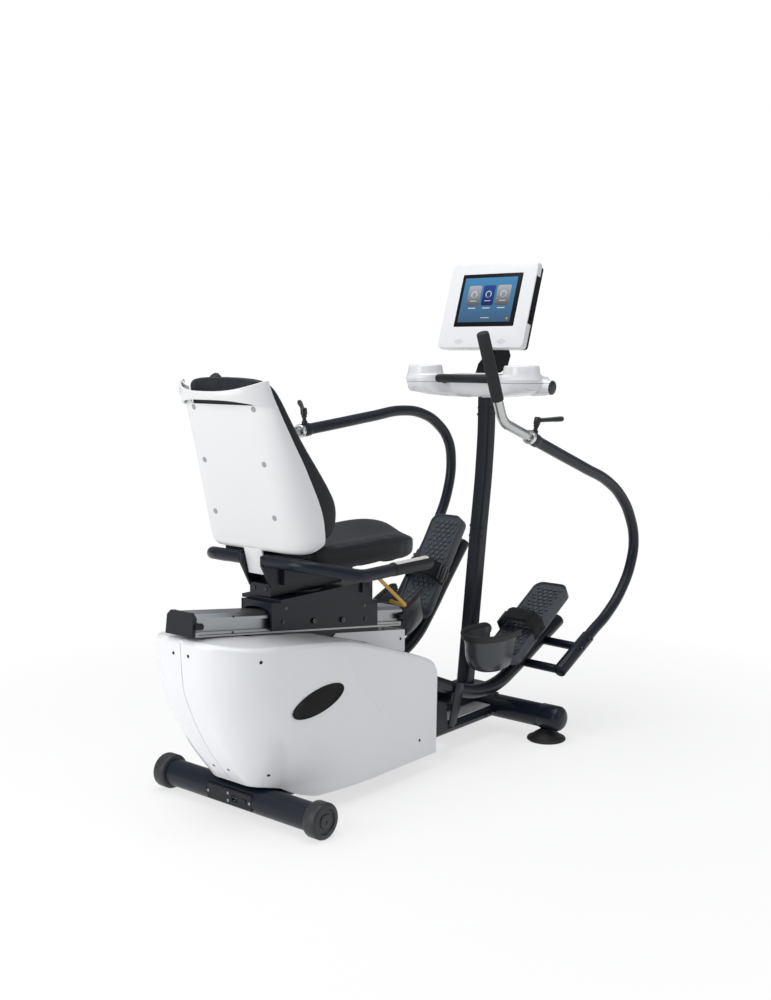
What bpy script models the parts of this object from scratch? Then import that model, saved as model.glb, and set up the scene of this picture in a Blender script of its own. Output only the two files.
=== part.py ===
"""A recumbent exercise machine with a sliding swivel seat, two foot levers with arms and a console.

Metres, +Z up. The rider faces +X and +Y is the rider's left. Pieces are modelled from the middle of
the rear stabiliser on the floor, and at the end the root moves so that the origin is the middle of
the bounding box, on the floor.
"""

import math

import bmesh
import bpy
from mathutils import Matrix, Vector

# Fits
GAP = 0.0003
MERGE = 0.00001
REACH = 0.03  # how far a cutter runs past what it cuts

# Rear stabiliser and its wheels
STABILISER_RADIUS = 0.04
REAR_TUBE_HALF = 0.288
WHEEL_RADIUS = 0.0515
WHEEL_WIDTH = 0.045
WHEEL_AXLE_RADIUS = 0.012
WHEEL_AXLE_REACH = 0.032
REAR_Z = WHEEL_RADIUS

# Power panel on the rear stabiliser
PANEL_Y = (-0.083, 0.103)
PANEL_SEAT_X = -0.030
PANEL_THICKNESS = 0.010
PANEL_HALF_HEIGHT = 0.024
SWITCH_Y = -0.052
SWITCH_HALF = (0.010, 0.0075)
INLET_Y = -0.015
INLET_HALF = (0.014, 0.011)
POCKET_DEPTH = 0.006

# Front stabiliser, its domed caps and its pads
FRONT_X = 1.125
FRONT_Z = 0.08
FRONT_TUBE_HALF = 0.302
CAP_STEP = 0.0015
CAP_LENGTH = 0.060
CAP_DOME = 0.025
PAD_Y = 0.318
PAD_RADIUS = 0.066
PAD_NECK_RADIUS = 0.022
PAD_RIM = 0.006

# Base frame and step plate
BASE_Y = 0.11
BASE_Z = 0.07
BASE_RADIUS = 0.02
CROSS_THICKNESS = 0.008
CROSS_REAR_X = 0.05
CROSS_FRONT_X = 0.70
PEDESTAL_X = (0.86, 1.15)
PEDESTAL_HALF = 0.05
PEDESTAL_TOP = 0.15
STEP_X = (0.845, 1.078)
STEP_HALF = 0.118
STEP_THICKNESS = 0.003

# Lever pivot
PIVOT_X = 0.764
PIVOT_Z = 0.201
PIVOT_SHAFT_RADIUS = 0.012
PIVOT_BRACKET_Y = (0.118, 0.140)
PIVOT_BRACKET_HALF = 0.024
LEFT_LEVER_TURN = math.radians(-25.1)

# Rail, whose profile stands square to its slope
RAIL_SLOPE = math.radians(7.74)
RAIL_REAR_X = -0.208
RAIL_REAR_Z = 0.5555
RAIL_LENGTH = 0.884
RAIL_HALF = 0.050
RAIL_TOP = 0.062
RAIL_SHOULDER = 0.052
RAIL_CROWN_HALF = 0.036
RAIL_GROOVE = (0.014, 0.044)
RAIL_GROOVE_DEPTH = 0.010
RAIL_CAP_THICKNESS = 0.014
RAIL_CAP_LIP = 0.003
BUFFER_RADIUS = 0.0095
BUFFER_LENGTH = 0.022

# Rail supports inside the shroud
SUPPORT_Y = (0.038, 0.044)
SUPPORT_X = (0.0, 0.56)
SUPPORT_FOOT_HALF = 0.070
SUPPORT_PLATE = 0.006
SIDE_ROD_RADIUS = 0.006
SIDE_ROD_X = 0.52
SIDE_ROD_Z = 0.11

# Drive
PULLEY_X, PULLEY_Z = 0.35, 0.25
PULLEY_RADIUS = 0.12
PULLEY_HALF = 0.010
BRAKE_X, BRAKE_Z = 0.05, 0.25
BRAKE_RADIUS = 0.10
BRAKE_Y = (0.020, 0.026)
SHEAVE_RADIUS = 0.04
SHAFT_RADIUS = 0.010
SHAFT_HALF = 0.052
BELT_THICKNESS = 0.003
BELT_HALF = 0.008

# Rocker that joins the levers
ROCKER_X = 0.588
ROCKER_Z = (0.318, 0.334)
ROCKER_HALF = 0.135
ROCKER_WIDTH = 0.030
ROCKER_PIN_RADIUS = 0.008
ROCKER_HEAD_RADIUS = 0.014

# Shroud
SHROUD_WALL = 0.003
SHROUD_SEAM = 0.0006
SHROUD_HALF_WIDTH = 0.208
SHROUD_FRONT_X = 0.655
SHROUD_SLOT = 0.0446
SHROUD_BAND = 0.055
FAIRING_X = (0.345, 0.689)
FAIRING_Y = (0.0443, 0.0475)
FAIRING_DROP = 0.014

# Post
POST_HALF = 0.025
POST_CORNER = 0.009
POST_LOWER = ((1.0905, 0.1503), (1.163, 0.696))
POST_UPPER = ((1.163, 0.696), (1.1785, 0.800), (1.1915, 0.900), (1.2045, 1.077), (1.205, 1.1495))

# Tray
TRAY_REAR_X = 1.045
TRAY_FRONT_X = 1.275
TRAY_HALF = 0.285
TRAY_SEAM_Z = 1.210
TRAY_RIM_Z = 1.236
TRAY_LOW_Z = 1.157
CUP_X, CUP_Y = 1.115, 0.200
CUP_RADIUS = 0.060
CUP_BORE = 0.047
CUP_TOP_Z = 1.268
CUP_FLOOR_Z = 1.216
TRAY_TUBE_X, TRAY_TUBE_Z = 1.158, 1.194
TRAY_TUBE_RADIUS = 0.022
TRAY_TUBE_HALF = 0.300
GRIP_BAR_X, GRIP_BAR_Z = 1.073, 1.2225
GRIP_BAR_HALF = 0.122
GRIP_BAR_RADIUS = 0.0145

# Console
MONITOR_FOOT = (1.150, 1.328)
MONITOR_TILT = math.radians(18.8)
MONITOR_WIDTH = 0.36
MONITOR_HEIGHT = 0.311
BEZEL_DEPTH = 0.028
BEZEL_WALL = 0.006
BACK_DEPTH = 0.020
GLASS_Y = 0.127
GLASS_H = (0.0775, 0.2715)
GLASS_THICKNESS = 0.003

# Carriage and swivel base
CARRIAGE_X = (0.070, 0.535)
CARRIAGE_HALF = 0.062
CARRIAGE_WALL = 0.004
CARRIAGE_LOW = 0.0075
CARRIAGE_TOP = 0.0885
ROLLER_RADIUS = 0.0095
ROLLER_Y = (0.012, 0.034)
ROLLER_AXLE_RADIUS = 0.005
ROLLER_X = (0.130, 0.475)
SWIVEL_X = (0.090, 0.490)
SWIVEL_HALF = 0.080
SWIVEL_TOP_Z = 0.615
SEAT_AXIS_X = 0.25
RELEASE_X, RELEASE_Z = 0.450, SWIVEL_TOP_Z + 0.025
RELEASE_RADIUS = 0.006
EAR_Y = (0.0797, 0.0880)
EAR_HALF = 0.016

# Seat frame
TURNTABLE_RADIUS = 0.070
BEAM_Z = (0.620, 0.655)
BEAM_X = (0.086, 0.390)
BEAM_HALF = 0.042
RISER_X = (0.125, 0.420)
RISER_HALF = 0.060
PAN_X = (0.110, 0.455)
PAN_HALF = 0.185
PAN_Z = (0.700, 0.725)
BRACKET_Y = (0.038, 0.046)
HUB_X, HUB_Z = 0.067, 0.728
HUB_ROD_RADIUS = 0.0105
HUB_ROD_END = 0.165

# Back shell, whose rear face is a plane leaning back
SHELL_FOOT_X, SHELL_FOOT_Z = 0.032, 0.860
SHELL_LEAN = 0.25
SHELL_WALL = 0.004
SHELL_BOTTOM_Z = 0.757
TONGUE_HALF = 0.036
TONGUE_BOTTOM_Z = 0.683
TONGUE_THICKNESS = 0.008
HANDLE_BULGE = 0.045

# Armrests
ARMREST_RADIUS = 0.016
ARMREST_Y = 0.2775
ARMREST_Z = 0.690
ARMREST_TURN_Y = 0.226
ARMREST_ELBOW_X = 0.180
ARMREST_END_X = 0.520
ARM_GRIP_X = 0.345
ARM_GRIP_RADIUS = 0.0185

# Levers
LEVER_Y = 0.17
LEVER_RADIUS = 0.024
BOSS_RADIUS = 0.022
ARM_Y = 0.33
ARM_RADIUS = 0.019
SLEEVE_RADIUS = 0.023
SLEEVE_DEPTH = 0.080
CROSS_TUBE_RADIUS = 0.015

# Foot plates and heel cups
FOOT_RISE = math.radians(30.0)
FOOT_HEEL = (1.044, 0.285)
FOOT_LENGTH = 0.400
FOOT_HALF = 0.068
FOOT_THICKNESS = 0.040
FOOT_TRAY_DEPTH = 0.006
FOOT_RIM = 0.006
HEEL_WALL = 0.005
STRAP_THICKNESS = 0.003
STRAP_AT = 0.150
STRAP_WIDTH = 0.045
STRAP_RISE = 0.075

# Handles
HANDLE_RADIUS = 0.016
HANDLE_BORE_DEPTH = 0.170
HANDLE_SHANK = 0.120
HANDLE_GRIP_RADIUS = 0.0195
CLAMP_STUD_RADIUS = 0.007
CLAMP_LEVER_LENGTH = 0.085


# Helpers: collections, materials and simple solids

for leftover in list(bpy.data.objects):
    bpy.data.objects.remove(leftover)

PARTS = bpy.data.collections.new("recumbent_exercise_machine")
CUTTERS = bpy.data.collections.new("cutters")
bpy.context.scene.collection.children.link(PARTS)
bpy.context.scene.collection.children.link(CUTTERS)


def material(name, colour, roughness, metallic=0.0):
    made = bpy.data.materials.new(name)
    made.use_nodes = True
    shader = made.node_tree.nodes["Principled BSDF"]
    shader.inputs["Base Color"].default_value = (*colour, 1.0)
    shader.inputs["Roughness"].default_value = roughness
    shader.inputs["Metallic"].default_value = metallic
    return made


WHITE = ("white", (0.86, 0.87, 0.88), 0.25, 0.0)
DARK_PAINT = ("dark_paint", (0.022, 0.027, 0.036), 0.38, 0.35)
ALUMINIUM = ("aluminium", (0.62, 0.63, 0.62), 0.35, 1.0)
SILVER = ("silver", (0.60, 0.60, 0.61), 0.22, 1.0)
RUBBER = ("rubber", (0.020, 0.020, 0.022), 0.70, 0.0)
BLACK_PLASTIC = ("black_plastic", (0.025, 0.027, 0.031), 0.45, 0.0)
GREY_PLASTIC = ("grey_plastic", (0.085, 0.090, 0.100), 0.35, 0.0)
UPHOLSTERY = ("upholstery", (0.018, 0.020, 0.025), 0.55, 0.0)
STRAP = ("strap", (0.016, 0.018, 0.024), 0.80, 0.0)
FOAM = ("foam", (0.015, 0.015, 0.017), 0.85, 0.0)
YELLOW = ("yellow", (0.80, 0.42, 0.06), 0.40, 0.0)
GLASS = ("screen_glass", (0.010, 0.016, 0.035), 0.08, 0.0)
STEEL = ("steel", (0.45, 0.45, 0.46), 0.35, 1.0)


def linked(name, data, collection=PARTS):
    made = bpy.data.objects.new(name, data)
    collection.objects.link(made)
    return made


def from_bmesh(name, shape):
    bmesh.ops.recalc_face_normals(shape, faces=shape.faces)
    mesh = bpy.data.meshes.new(name)
    shape.to_mesh(mesh)
    shape.free()
    return linked(name, mesh)


def as_mesh(source):
    """The object as the viewport shows it, made a plain welded mesh in bike coordinates."""
    bpy.context.view_layer.update()
    graph = bpy.context.evaluated_depsgraph_get()
    mesh = bpy.data.meshes.new_from_object(source.evaluated_get(graph))
    mesh.transform(source.matrix_world)
    name = source.name
    bpy.data.objects.remove(source)
    shape = bmesh.new()
    shape.from_mesh(mesh)
    bmesh.ops.remove_doubles(shape, verts=shape.verts, dist=MERGE)
    return from_bmesh(name, shape)


def box(name, low, high, bevel=0.0, segments=2):
    """A box between two corners, with its edges rounded."""
    low, high = Vector(low), Vector(high)
    shape = bmesh.new()
    bmesh.ops.create_cube(shape, size=1.0)
    bmesh.ops.scale(shape, vec=high - low, verts=shape.verts)
    bmesh.ops.translate(shape, vec=(low + high) / 2, verts=shape.verts)
    if bevel:
        edges = shape.edges[:]
        bmesh.ops.bevel(shape, geom=edges, offset=bevel, segments=segments, profile=0.5, affect="EDGES")
    return from_bmesh(name, shape)


def rod(name, start, end, radius, sides=12):
    """A round bar between two points."""
    start, end = Vector(start), Vector(end)
    shape = bmesh.new()
    length = (end - start).length
    bmesh.ops.create_cone(
        shape, cap_ends=True, segments=sides, radius1=radius, radius2=radius, depth=length
    )
    turn = Vector((0, 0, 1)).rotation_difference(end - start).to_matrix().to_4x4()
    place = Matrix.Translation((start + end) / 2) @ turn
    bmesh.ops.transform(shape, matrix=place, verts=shape.verts)
    return from_bmesh(name, shape)


def bore(start, end, radius, sides=16):
    """A cutter for a hole whose flat sides clear a bar of this radius by the gap."""
    return rod("bore", start, end, (radius + GAP) / math.cos(math.pi / sides), sides)


def turned(name, profile, centre=(0, 0, 0), axis=(0, 0, 1), sides=18, closed=False):
    """A profile of (radius, height) points, turned about an axis."""
    mesh = bpy.data.meshes.new(name)
    last = len(profile) - 1
    edges = [(i, i + 1) for i in range(last)]
    if closed:
        edges.append((last, 0))
    mesh.from_pydata([(radius, 0.0, height) for radius, height in profile], edges, [])
    made = linked(name, mesh)
    screw = made.modifiers.new("Screw", "SCREW")
    screw.steps = sides
    screw.render_steps = sides
    screw.use_merge_vertices = True
    screw.merge_threshold = MERGE
    turn = Vector((0, 0, 1)).rotation_difference(Vector(axis)).to_matrix().to_4x4()
    made.matrix_world = Matrix.Translation(centre) @ turn
    return as_mesh(made)


def tube(name, points, radius, resolution=3, rings=0):
    """A round tube along points: straight between them, or smooth with that many rings a stretch."""
    curve = bpy.data.curves.new(name, "CURVE")
    curve.dimensions = "3D"
    curve.bevel_depth = radius
    curve.bevel_resolution = resolution
    curve.use_fill_caps = True
    if rings:
        curve.resolution_u = rings
        spline = curve.splines.new("BEZIER")
        spline.bezier_points.add(len(points) - 1)
        for knot, point in zip(spline.bezier_points, points):
            knot.co = point
            knot.handle_left_type = "AUTO"
            knot.handle_right_type = "AUTO"
    else:
        spline = curve.splines.new("POLY")
        spline.points.add(len(points) - 1)
        for knot, point in zip(spline.points, points):
            knot.co = (*point, 1.0)
    return as_mesh(linked(name, curve))


def filleted(points, radius, steps=3, closed=False):
    """The points with every corner between them rounded by an arc."""
    points = [Vector(point) for point in points]
    count = len(points)
    route = []
    for i, corner in enumerate(points):
        if not closed and i in (0, count - 1):
            route.append(corner)
            continue
        before, after = points[i - 1], points[(i + 1) % count]
        back, ahead = (before - corner), (after - corner)
        half = back.angle(ahead) / 2
        reach = min(radius / math.tan(half), back.length * 0.49, ahead.length * 0.49)
        size = reach * math.tan(half)
        middle = corner + (back.normalized() + ahead.normalized()).normalized() * (size / math.sin(half))
        first = corner + back.normalized() * reach - middle
        last = corner + ahead.normalized() * reach - middle
        for step in range(steps + 1):
            share = step / steps
            route.append(middle + first.normalized().lerp(last.normalized(), share).normalized() * size)
    return route


PLANES = {
    "XY": ((1, 0, 0), (0, 1, 0), (0, 0, 1)),
    "XZ": ((1, 0, 0), (0, 0, 1), (0, -1, 0)),
    "YZ": ((0, 1, 0), (0, 0, 1), (1, 0, 0)),
}


def plate(name, outline, low, high, plane="XZ", holes=()):
    """A flat outline in one of the main planes, from low to high across it."""
    curve = bpy.data.curves.new(name, "CURVE")
    curve.dimensions = "2D"
    curve.fill_mode = "BOTH"
    curve.extrude = abs(high - low) / 2
    for loop in (outline, *holes):
        spline = curve.splines.new("POLY")
        spline.points.add(len(loop) - 1)
        spline.use_cyclic_u = True
        for knot, point in zip(spline.points, loop):
            knot.co = (point[0], point[1], 0.0, 1.0)
    made = linked(name, curve)
    across, up, out = (Vector(axis) for axis in PLANES[plane])
    place = Matrix((across, up, out)).transposed().to_4x4()
    place.translation = Vector(abs(axis) for axis in out) * ((low + high) / 2)
    made.matrix_world = place
    return as_mesh(made)


def loft(name, rings):
    """Faces between closed rings of as many points, with flat ends."""
    shape = bmesh.new()
    rows = [[shape.verts.new(point) for point in each] for each in rings]
    count = len(rows[0])
    for near, far in zip(rows, rows[1:]):
        for i in range(count):
            j = (i + 1) % count
            shape.faces.new((near[i], near[j], far[j], far[i]))
    shape.faces.new(reversed(rows[0]))
    shape.faces.new(rows[-1])
    return from_bmesh(name, shape)


def sheet(name, rows, thickness, offset):
    """An open surface through rows of points, made a wall of one thickness."""
    shape = bmesh.new()
    grid = [[shape.verts.new(point) for point in row] for row in rows]
    for low, high in zip(grid, grid[1:]):
        for i in range(len(low) - 1):
            shape.faces.new((low[i], low[i + 1], high[i + 1], high[i]))
    bmesh.ops.remove_doubles(shape, verts=shape.verts, dist=MERGE)
    bmesh.ops.dissolve_degenerate(shape, edges=shape.edges, dist=MERGE)
    mesh = bpy.data.meshes.new(name)
    shape.to_mesh(mesh)
    shape.free()
    made = linked(name, mesh)
    wall = made.modifiers.new("Wall", "SOLIDIFY")
    wall.thickness = thickness
    wall.offset = offset
    wall.use_even_offset = True
    return as_mesh(made)


def softened(cage, levels=2):
    """A coarse cage made a smooth form."""
    smooth = cage.modifiers.new("Smooth", "SUBSURF")
    smooth.levels = levels
    smooth.render_levels = levels
    return as_mesh(cage)


def combined(base, others, operation):
    for other in others:
        change = base.modifiers.new(operation.title(), "BOOLEAN")
        change.operation = operation
        change.object = other
    made = as_mesh(base)
    for other in others:
        bpy.data.objects.remove(other)
    return made


def union(*pieces):
    return combined(pieces[0], pieces[1:], "UNION")


def cut(base, *cutters):
    for cutter in cutters:
        for holder in list(cutter.users_collection):
            holder.objects.unlink(cutter)
        CUTTERS.objects.link(cutter)
        cutter.hide_render = True
        cutter.display_type = "WIRE"
    return combined(base, cutters, "DIFFERENCE")


def moved(made, place):
    made.data.transform(place)
    return made


def joint(name, location, parent=None):
    """An empty on a joint's axis, which carries the pieces that move with it."""
    made = linked(name, None)
    made.empty_display_size = 0.05
    made.location = location
    bpy.context.view_layer.update()
    if parent:
        made.parent = parent
        made.matrix_parent_inverse = parent.matrix_world.inverted()
        bpy.context.view_layer.update()
    return made


def node(name, made, look, body, sharp=35):
    """The finished piece: named, given its own material, shaded and hung on its body."""
    made.name = name
    made.data.name = name
    made.data.materials.clear()
    made.data.materials.append(material(f"{name}_{look[0]}", *look[1:]))
    made.data.shade_smooth()
    made.data.set_sharp_from_angle(angle=math.radians(sharp))
    made.parent = body
    made.matrix_parent_inverse = body.matrix_world.inverted()
    return made


def between(table, at):
    """A value read off a table of (position, value) pairs, straight between them and past its ends."""
    pairs = list(zip(table, table[1:]))
    for (low, first), (high, last) in pairs:
        if at <= high:
            break
    else:
        (low, first), (high, last) = pairs[-1]
    return first + (last - first) * (at - low) / (high - low)


def held(table, at):
    """The same, but level past the ends of the table."""
    return between(table, min(max(at, table[0][0]), table[-1][0]))


RAIL_PLACE = Matrix.Translation((RAIL_REAR_X, 0, RAIL_REAR_Z)) @ Matrix.Rotation(RAIL_SLOPE, 4, "Y")


def on_rail(x, height):
    """World z at x for a height that is square to the rail's underside."""
    return RAIL_REAR_Z - (x - RAIL_REAR_X) * math.tan(RAIL_SLOPE) + height / math.cos(RAIL_SLOPE)


# Bodies: the root and one empty on each joint

ROOT = joint("machine", (0, 0, 0))
SIDES = {"left": 1, "right": -1}


# Base

CROSS_Z = (BASE_Z - CROSS_THICKNESS / 2, BASE_Z + CROSS_THICKNESS / 2)
PIVOT_SHAFT_END = LEVER_Y + LEVER_RADIUS + 0.006


def stabiliser_saddle(x, z):
    half = BASE_Y + BASE_RADIUS + REACH
    return bore((x, -half, z), (x, half, z), STABILISER_RADIUS, 20)


def base_frame():
    pieces = []
    top = 2 * PIVOT_BRACKET_HALF * 0.5
    for side in SIDES.values():
        y = side * BASE_Y
        pieces.append(rod("tube", (0, y, BASE_Z), (FRONT_X, y, BASE_Z), BASE_RADIUS))
        outline = [
            (PIVOT_X - 1.6 * PIVOT_BRACKET_HALF, BASE_Z),
            (PIVOT_X + 1.6 * PIVOT_BRACKET_HALF, BASE_Z),
            (PIVOT_X + top, PIVOT_Z + top),
            (PIVOT_X - top, PIVOT_Z + top),
        ]
        outline = [(point.x, point.y) for point in filleted([(*p, 0) for p in outline], 0.010, closed=True)]
        low, high = sorted(side * edge for edge in PIVOT_BRACKET_Y)
        pieces.append(plate("bracket", outline, low, high))
    cross_high = (CROSS_FRONT_X, BASE_Y, CROSS_Z[1])
    pieces.append(box("rear_cross", (CROSS_REAR_X, -BASE_Y, CROSS_Z[0]), cross_high))
    pieces.append(box("front_cross", (STEP_X[0], -BASE_Y, CROSS_Z[0]), (FRONT_X, BASE_Y, CROSS_Z[1])))
    pedestal_low = (PEDESTAL_X[0], -PEDESTAL_HALF, BASE_Z)
    pedestal_high = (PEDESTAL_X[1], PEDESTAL_HALF, PEDESTAL_TOP)
    pieces.append(box("pedestal", pedestal_low, pedestal_high, bevel=0.004, segments=1))
    shaft_end = (PIVOT_X, PIVOT_SHAFT_END, PIVOT_Z)
    pieces.append(rod("pivot_shaft", (PIVOT_X, -PIVOT_SHAFT_END, PIVOT_Z), shaft_end, PIVOT_SHAFT_RADIUS))
    frame = union(*pieces)
    frame = cut(frame, stabiliser_saddle(0, REAR_Z), stabiliser_saddle(FRONT_X, FRONT_Z))
    node("base_frame", frame, DARK_PAINT, ROOT)


def step_plate():
    inner = PEDESTAL_HALF + GAP
    notch = PEDESTAL_X[0] - GAP
    outline = [
        (STEP_X[0], -STEP_HALF),
        (STEP_X[1], -STEP_HALF),
        (STEP_X[1], -inner),
        (notch, -inner),
        (notch, inner),
        (STEP_X[1], inner),
        (STEP_X[1], STEP_HALF),
        (STEP_X[0], STEP_HALF),
    ]
    bottom = BASE_Z + BASE_RADIUS + GAP
    node("step_plate", plate("step", outline, bottom, bottom + STEP_THICKNESS, "XY"), SILVER, ROOT)


def rear_stabiliser():
    body = rod("tube", (0, -REAR_TUBE_HALF, REAR_Z), (0, REAR_TUBE_HALF, REAR_Z), STABILISER_RADIUS, 20)
    axle_end = REAR_TUBE_HALF + WHEEL_AXLE_REACH
    axle = rod("axle", (0, -axle_end, REAR_Z), (0, axle_end, REAR_Z), WHEEL_AXLE_RADIUS)
    flat = box(
        "flat",
        (-2 * STABILISER_RADIUS, PANEL_Y[0] - GAP, 0),
        (PANEL_SEAT_X, PANEL_Y[1] + GAP, REAR_Z + 2 * STABILISER_RADIUS),
    )
    node("rear_stabiliser", cut(union(body, axle), flat), DARK_PAINT, ROOT)


def front_stabiliser():
    cap_radius = STABILISER_RADIUS + CAP_STEP
    cap_end = FRONT_TUBE_HALF + CAP_LENGTH
    half = [(cap_radius * math.sin(a), cap_end + CAP_DOME * math.cos(a)) for a in (0, 0.45, 0.9, 1.25)]
    half += [(cap_radius, cap_end), (cap_radius, FRONT_TUBE_HALF), (STABILISER_RADIUS, FRONT_TUBE_HALF)]
    profile = half + [(radius, -height) for radius, height in reversed(half)]
    body = turned("front", profile, (FRONT_X, 0, FRONT_Z), (0, 1, 0), 20)
    node("front_stabiliser", body, DARK_PAINT, ROOT)


def foot_pads():
    top = FRONT_Z - STABILISER_RADIUS - CAP_STEP - GAP
    profile = [
        (0, top),
        (PAD_NECK_RADIUS, top),
        (PAD_NECK_RADIUS + 0.010, top - 0.006),
        (0.7 * PAD_RADIUS, 0.4 * top + PAD_RIM / 2),
        (0.93 * PAD_RADIUS, PAD_RIM + 0.002),
        (PAD_RADIUS, PAD_RIM / 2),
        (PAD_RADIUS, 0),
        (0, 0),
    ]
    for word, side in SIDES.items():
        pad = turned("pad", profile, (FRONT_X, side * PAD_Y, 0), (0, 0, 1), 20)
        node(f"foot_pad_{word}", pad, RUBBER, ROOT)


def transport_wheels():
    inner = (WHEEL_AXLE_RADIUS + GAP) / math.cos(math.pi / 20)
    depth = WHEEL_AXLE_REACH
    edge = 0.004
    profile = [
        (0, WHEEL_WIDTH - edge / 2),
        (0.5 * WHEEL_RADIUS, WHEEL_WIDTH - edge / 2),
        (0.55 * WHEEL_RADIUS, WHEEL_WIDTH),
        (WHEEL_RADIUS - edge, WHEEL_WIDTH),
        (WHEEL_RADIUS, WHEEL_WIDTH - edge),
        (WHEEL_RADIUS, edge),
        (WHEEL_RADIUS - edge, 0),
        (inner, 0),
        (inner, depth),
        (0, depth),
    ]
    for word, side in SIDES.items():
        centre = (0, side * (REAR_TUBE_HALF + GAP), REAR_Z)
        body = joint(f"transport_wheel_axle_{word}", centre, ROOT)
        wheel = turned("wheel", profile, centre, (0, side, 0), 20)
        node(f"transport_wheel_{word}", wheel, RUBBER, body)


def power_panel():
    face = PANEL_SEAT_X - GAP - PANEL_THICKNESS
    z_range = (REAR_Z - PANEL_HALF_HEIGHT, REAR_Z + PANEL_HALF_HEIGHT)
    panel = box(
        "panel",
        (face, PANEL_Y[0], z_range[0]),
        (PANEL_SEAT_X - GAP, PANEL_Y[1], z_range[1]),
        bevel=0.003,
        segments=1,
    )
    floor = face + POCKET_DEPTH
    pockets = []
    for y, half in ((SWITCH_Y, SWITCH_HALF), (INLET_Y, INLET_HALF)):
        low = (face - REACH, y - half[0], REAR_Z - half[1])
        pockets.append(box("pocket", low, (floor, y + half[0], REAR_Z + half[1])))
    node("power_panel", cut(panel, *pockets), BLACK_PLASTIC, ROOT)

    play = 0.0005
    low = (face - 0.002, SWITCH_Y - SWITCH_HALF[0] + play, REAR_Z - SWITCH_HALF[1] + play)
    high = (floor - 2 * play, SWITCH_Y + SWITCH_HALF[0] - play, REAR_Z + SWITCH_HALF[1] - play)
    body = joint("power_switch_pin", ((low[0] + high[0]) / 2, SWITCH_Y, REAR_Z), ROOT)
    node("power_switch", box("switch", low, high, bevel=0.001, segments=1), BLACK_PLASTIC, body)

    low = (face - 0.001, INLET_Y - INLET_HALF[0] + GAP, REAR_Z - INLET_HALF[1] + GAP)
    high = (floor - GAP, INLET_Y + INLET_HALF[0] - GAP, REAR_Z + INLET_HALF[1] - GAP)
    inlet = box("inlet", low, high, bevel=0.0015, segments=1)
    rim = 0.003
    hollow_low = (low[0] - REACH, low[1] + rim, low[2] + rim)
    socket = box("socket", hollow_low, (high[0] - 0.0015, high[1] - rim, high[2] - rim))
    node("power_inlet", cut(inlet, socket), GREY_PLASTIC, ROOT)


# Rail and its supports

def rail_profile(lip=0.0, groove=True):
    half = [(RAIL_HALF + lip, 0)]
    if groove:
        inner = RAIL_HALF - RAIL_GROOVE_DEPTH
        low, high = RAIL_GROOVE
        half += [(RAIL_HALF, low), (inner, low), (inner, high), (RAIL_HALF, high)]
    half += [(RAIL_HALF + lip, RAIL_SHOULDER), (RAIL_CROWN_HALF + lip, RAIL_TOP + lip)]
    return half + [(-y, z) for y, z in reversed(half)]


def seat_rail():
    rail = plate("rail", rail_profile(), 0, RAIL_LENGTH, "YZ")
    node("seat_rail", moved(rail, RAIL_PLACE), ALUMINIUM, ROOT)
    inner = RAIL_HALF - RAIL_GROOVE_DEPTH + GAP
    middle = sum(RAIL_GROOVE) / 2
    cap_outline = rail_profile(RAIL_CAP_LIP, groove=False)
    for word, end, out in (("rear", 0, -1), ("front", RAIL_LENGTH, 1)):
        near, far = end + out * GAP, end + out * (GAP + RAIL_CAP_THICKNESS)
        pieces = [plate("cap", cap_outline, *sorted((near, far)), "YZ")]
        for side in SIDES.values():
            y = side * (inner + BUFFER_RADIUS)
            tip = end - out * BUFFER_LENGTH
            pieces.append(rod("buffer", (end + out * 0.006, y, middle), (tip, y, middle), BUFFER_RADIUS))
        node(f"rail_end_cap_{word}", moved(union(*pieces), RAIL_PLACE), BLACK_PLASTIC, ROOT)


def rail_supports():
    foot = CROSS_Z[1] + GAP
    inner, outer = SUPPORT_Y
    rear, front = SUPPORT_X

    def sloped(low_height, high_height, low_y, high_y):
        outline = [
            (rear, on_rail(rear, low_height)),
            (front, on_rail(front, low_height)),
            (front, on_rail(front, high_height)),
            (rear, on_rail(rear, high_height)),
        ]
        return plate("sloped", outline, low_y, high_y)

    pieces = [sloped(-GAP - SUPPORT_PLATE, -GAP, -outer, outer)]
    foot_rear = max(rear, CROSS_REAR_X)
    foot_low = (foot_rear, -SUPPORT_FOOT_HALF, foot)
    pieces.append(box("foot", foot_low, (front, SUPPORT_FOOT_HALF, foot + SUPPORT_PLATE)))
    for side in SIDES.values():
        wall = [
            (foot_rear, foot),
            (front, foot),
            (front, on_rail(front, -GAP)),
            (rear, on_rail(rear, -GAP)),
            (rear, foot + SHAFT_HALF),
        ]
        pieces.append(plate("wall", wall, *sorted((side * inner, side * outer))))
        end = side * (held(SHROUD_WIDTHS, SIDE_ROD_Z) - SHROUD_WALL - GAP)
        start = (SIDE_ROD_X, side * (inner + outer) / 2, SIDE_ROD_Z)
        pieces.append(rod("side_rod", start, (SIDE_ROD_X, end, SIDE_ROD_Z), SIDE_ROD_RADIUS, 12))
    arm_low = ROCKER_Z[1] + GAP
    arm_end = ROCKER_X + ROCKER_PIN_RADIUS + 0.008
    pieces.append(box("rocker_arm", (front - 0.006, -outer, arm_low), (arm_end, outer, arm_low + 0.018)))
    head = ROCKER_Z[0] - GAP
    pin = [
        (0, arm_low + 0.010),
        (ROCKER_PIN_RADIUS, arm_low + 0.010),
        (ROCKER_PIN_RADIUS, head),
        (ROCKER_HEAD_RADIUS, head),
        (ROCKER_HEAD_RADIUS, head - 0.005),
        (0, head - 0.005),
    ]
    pieces.append(turned("rocker_pin", pin, (ROCKER_X, 0, 0), (0, 0, 1), 12))
    holes = [
        bore((x, -BASE_Y, z), (x, BASE_Y, z), SHAFT_RADIUS)
        for x, z in ((PULLEY_X, PULLEY_Z), (BRAKE_X, BRAKE_Z))
    ]
    node("rail_supports", cut(union(*pieces), *holes), DARK_PAINT, ROOT)


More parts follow.
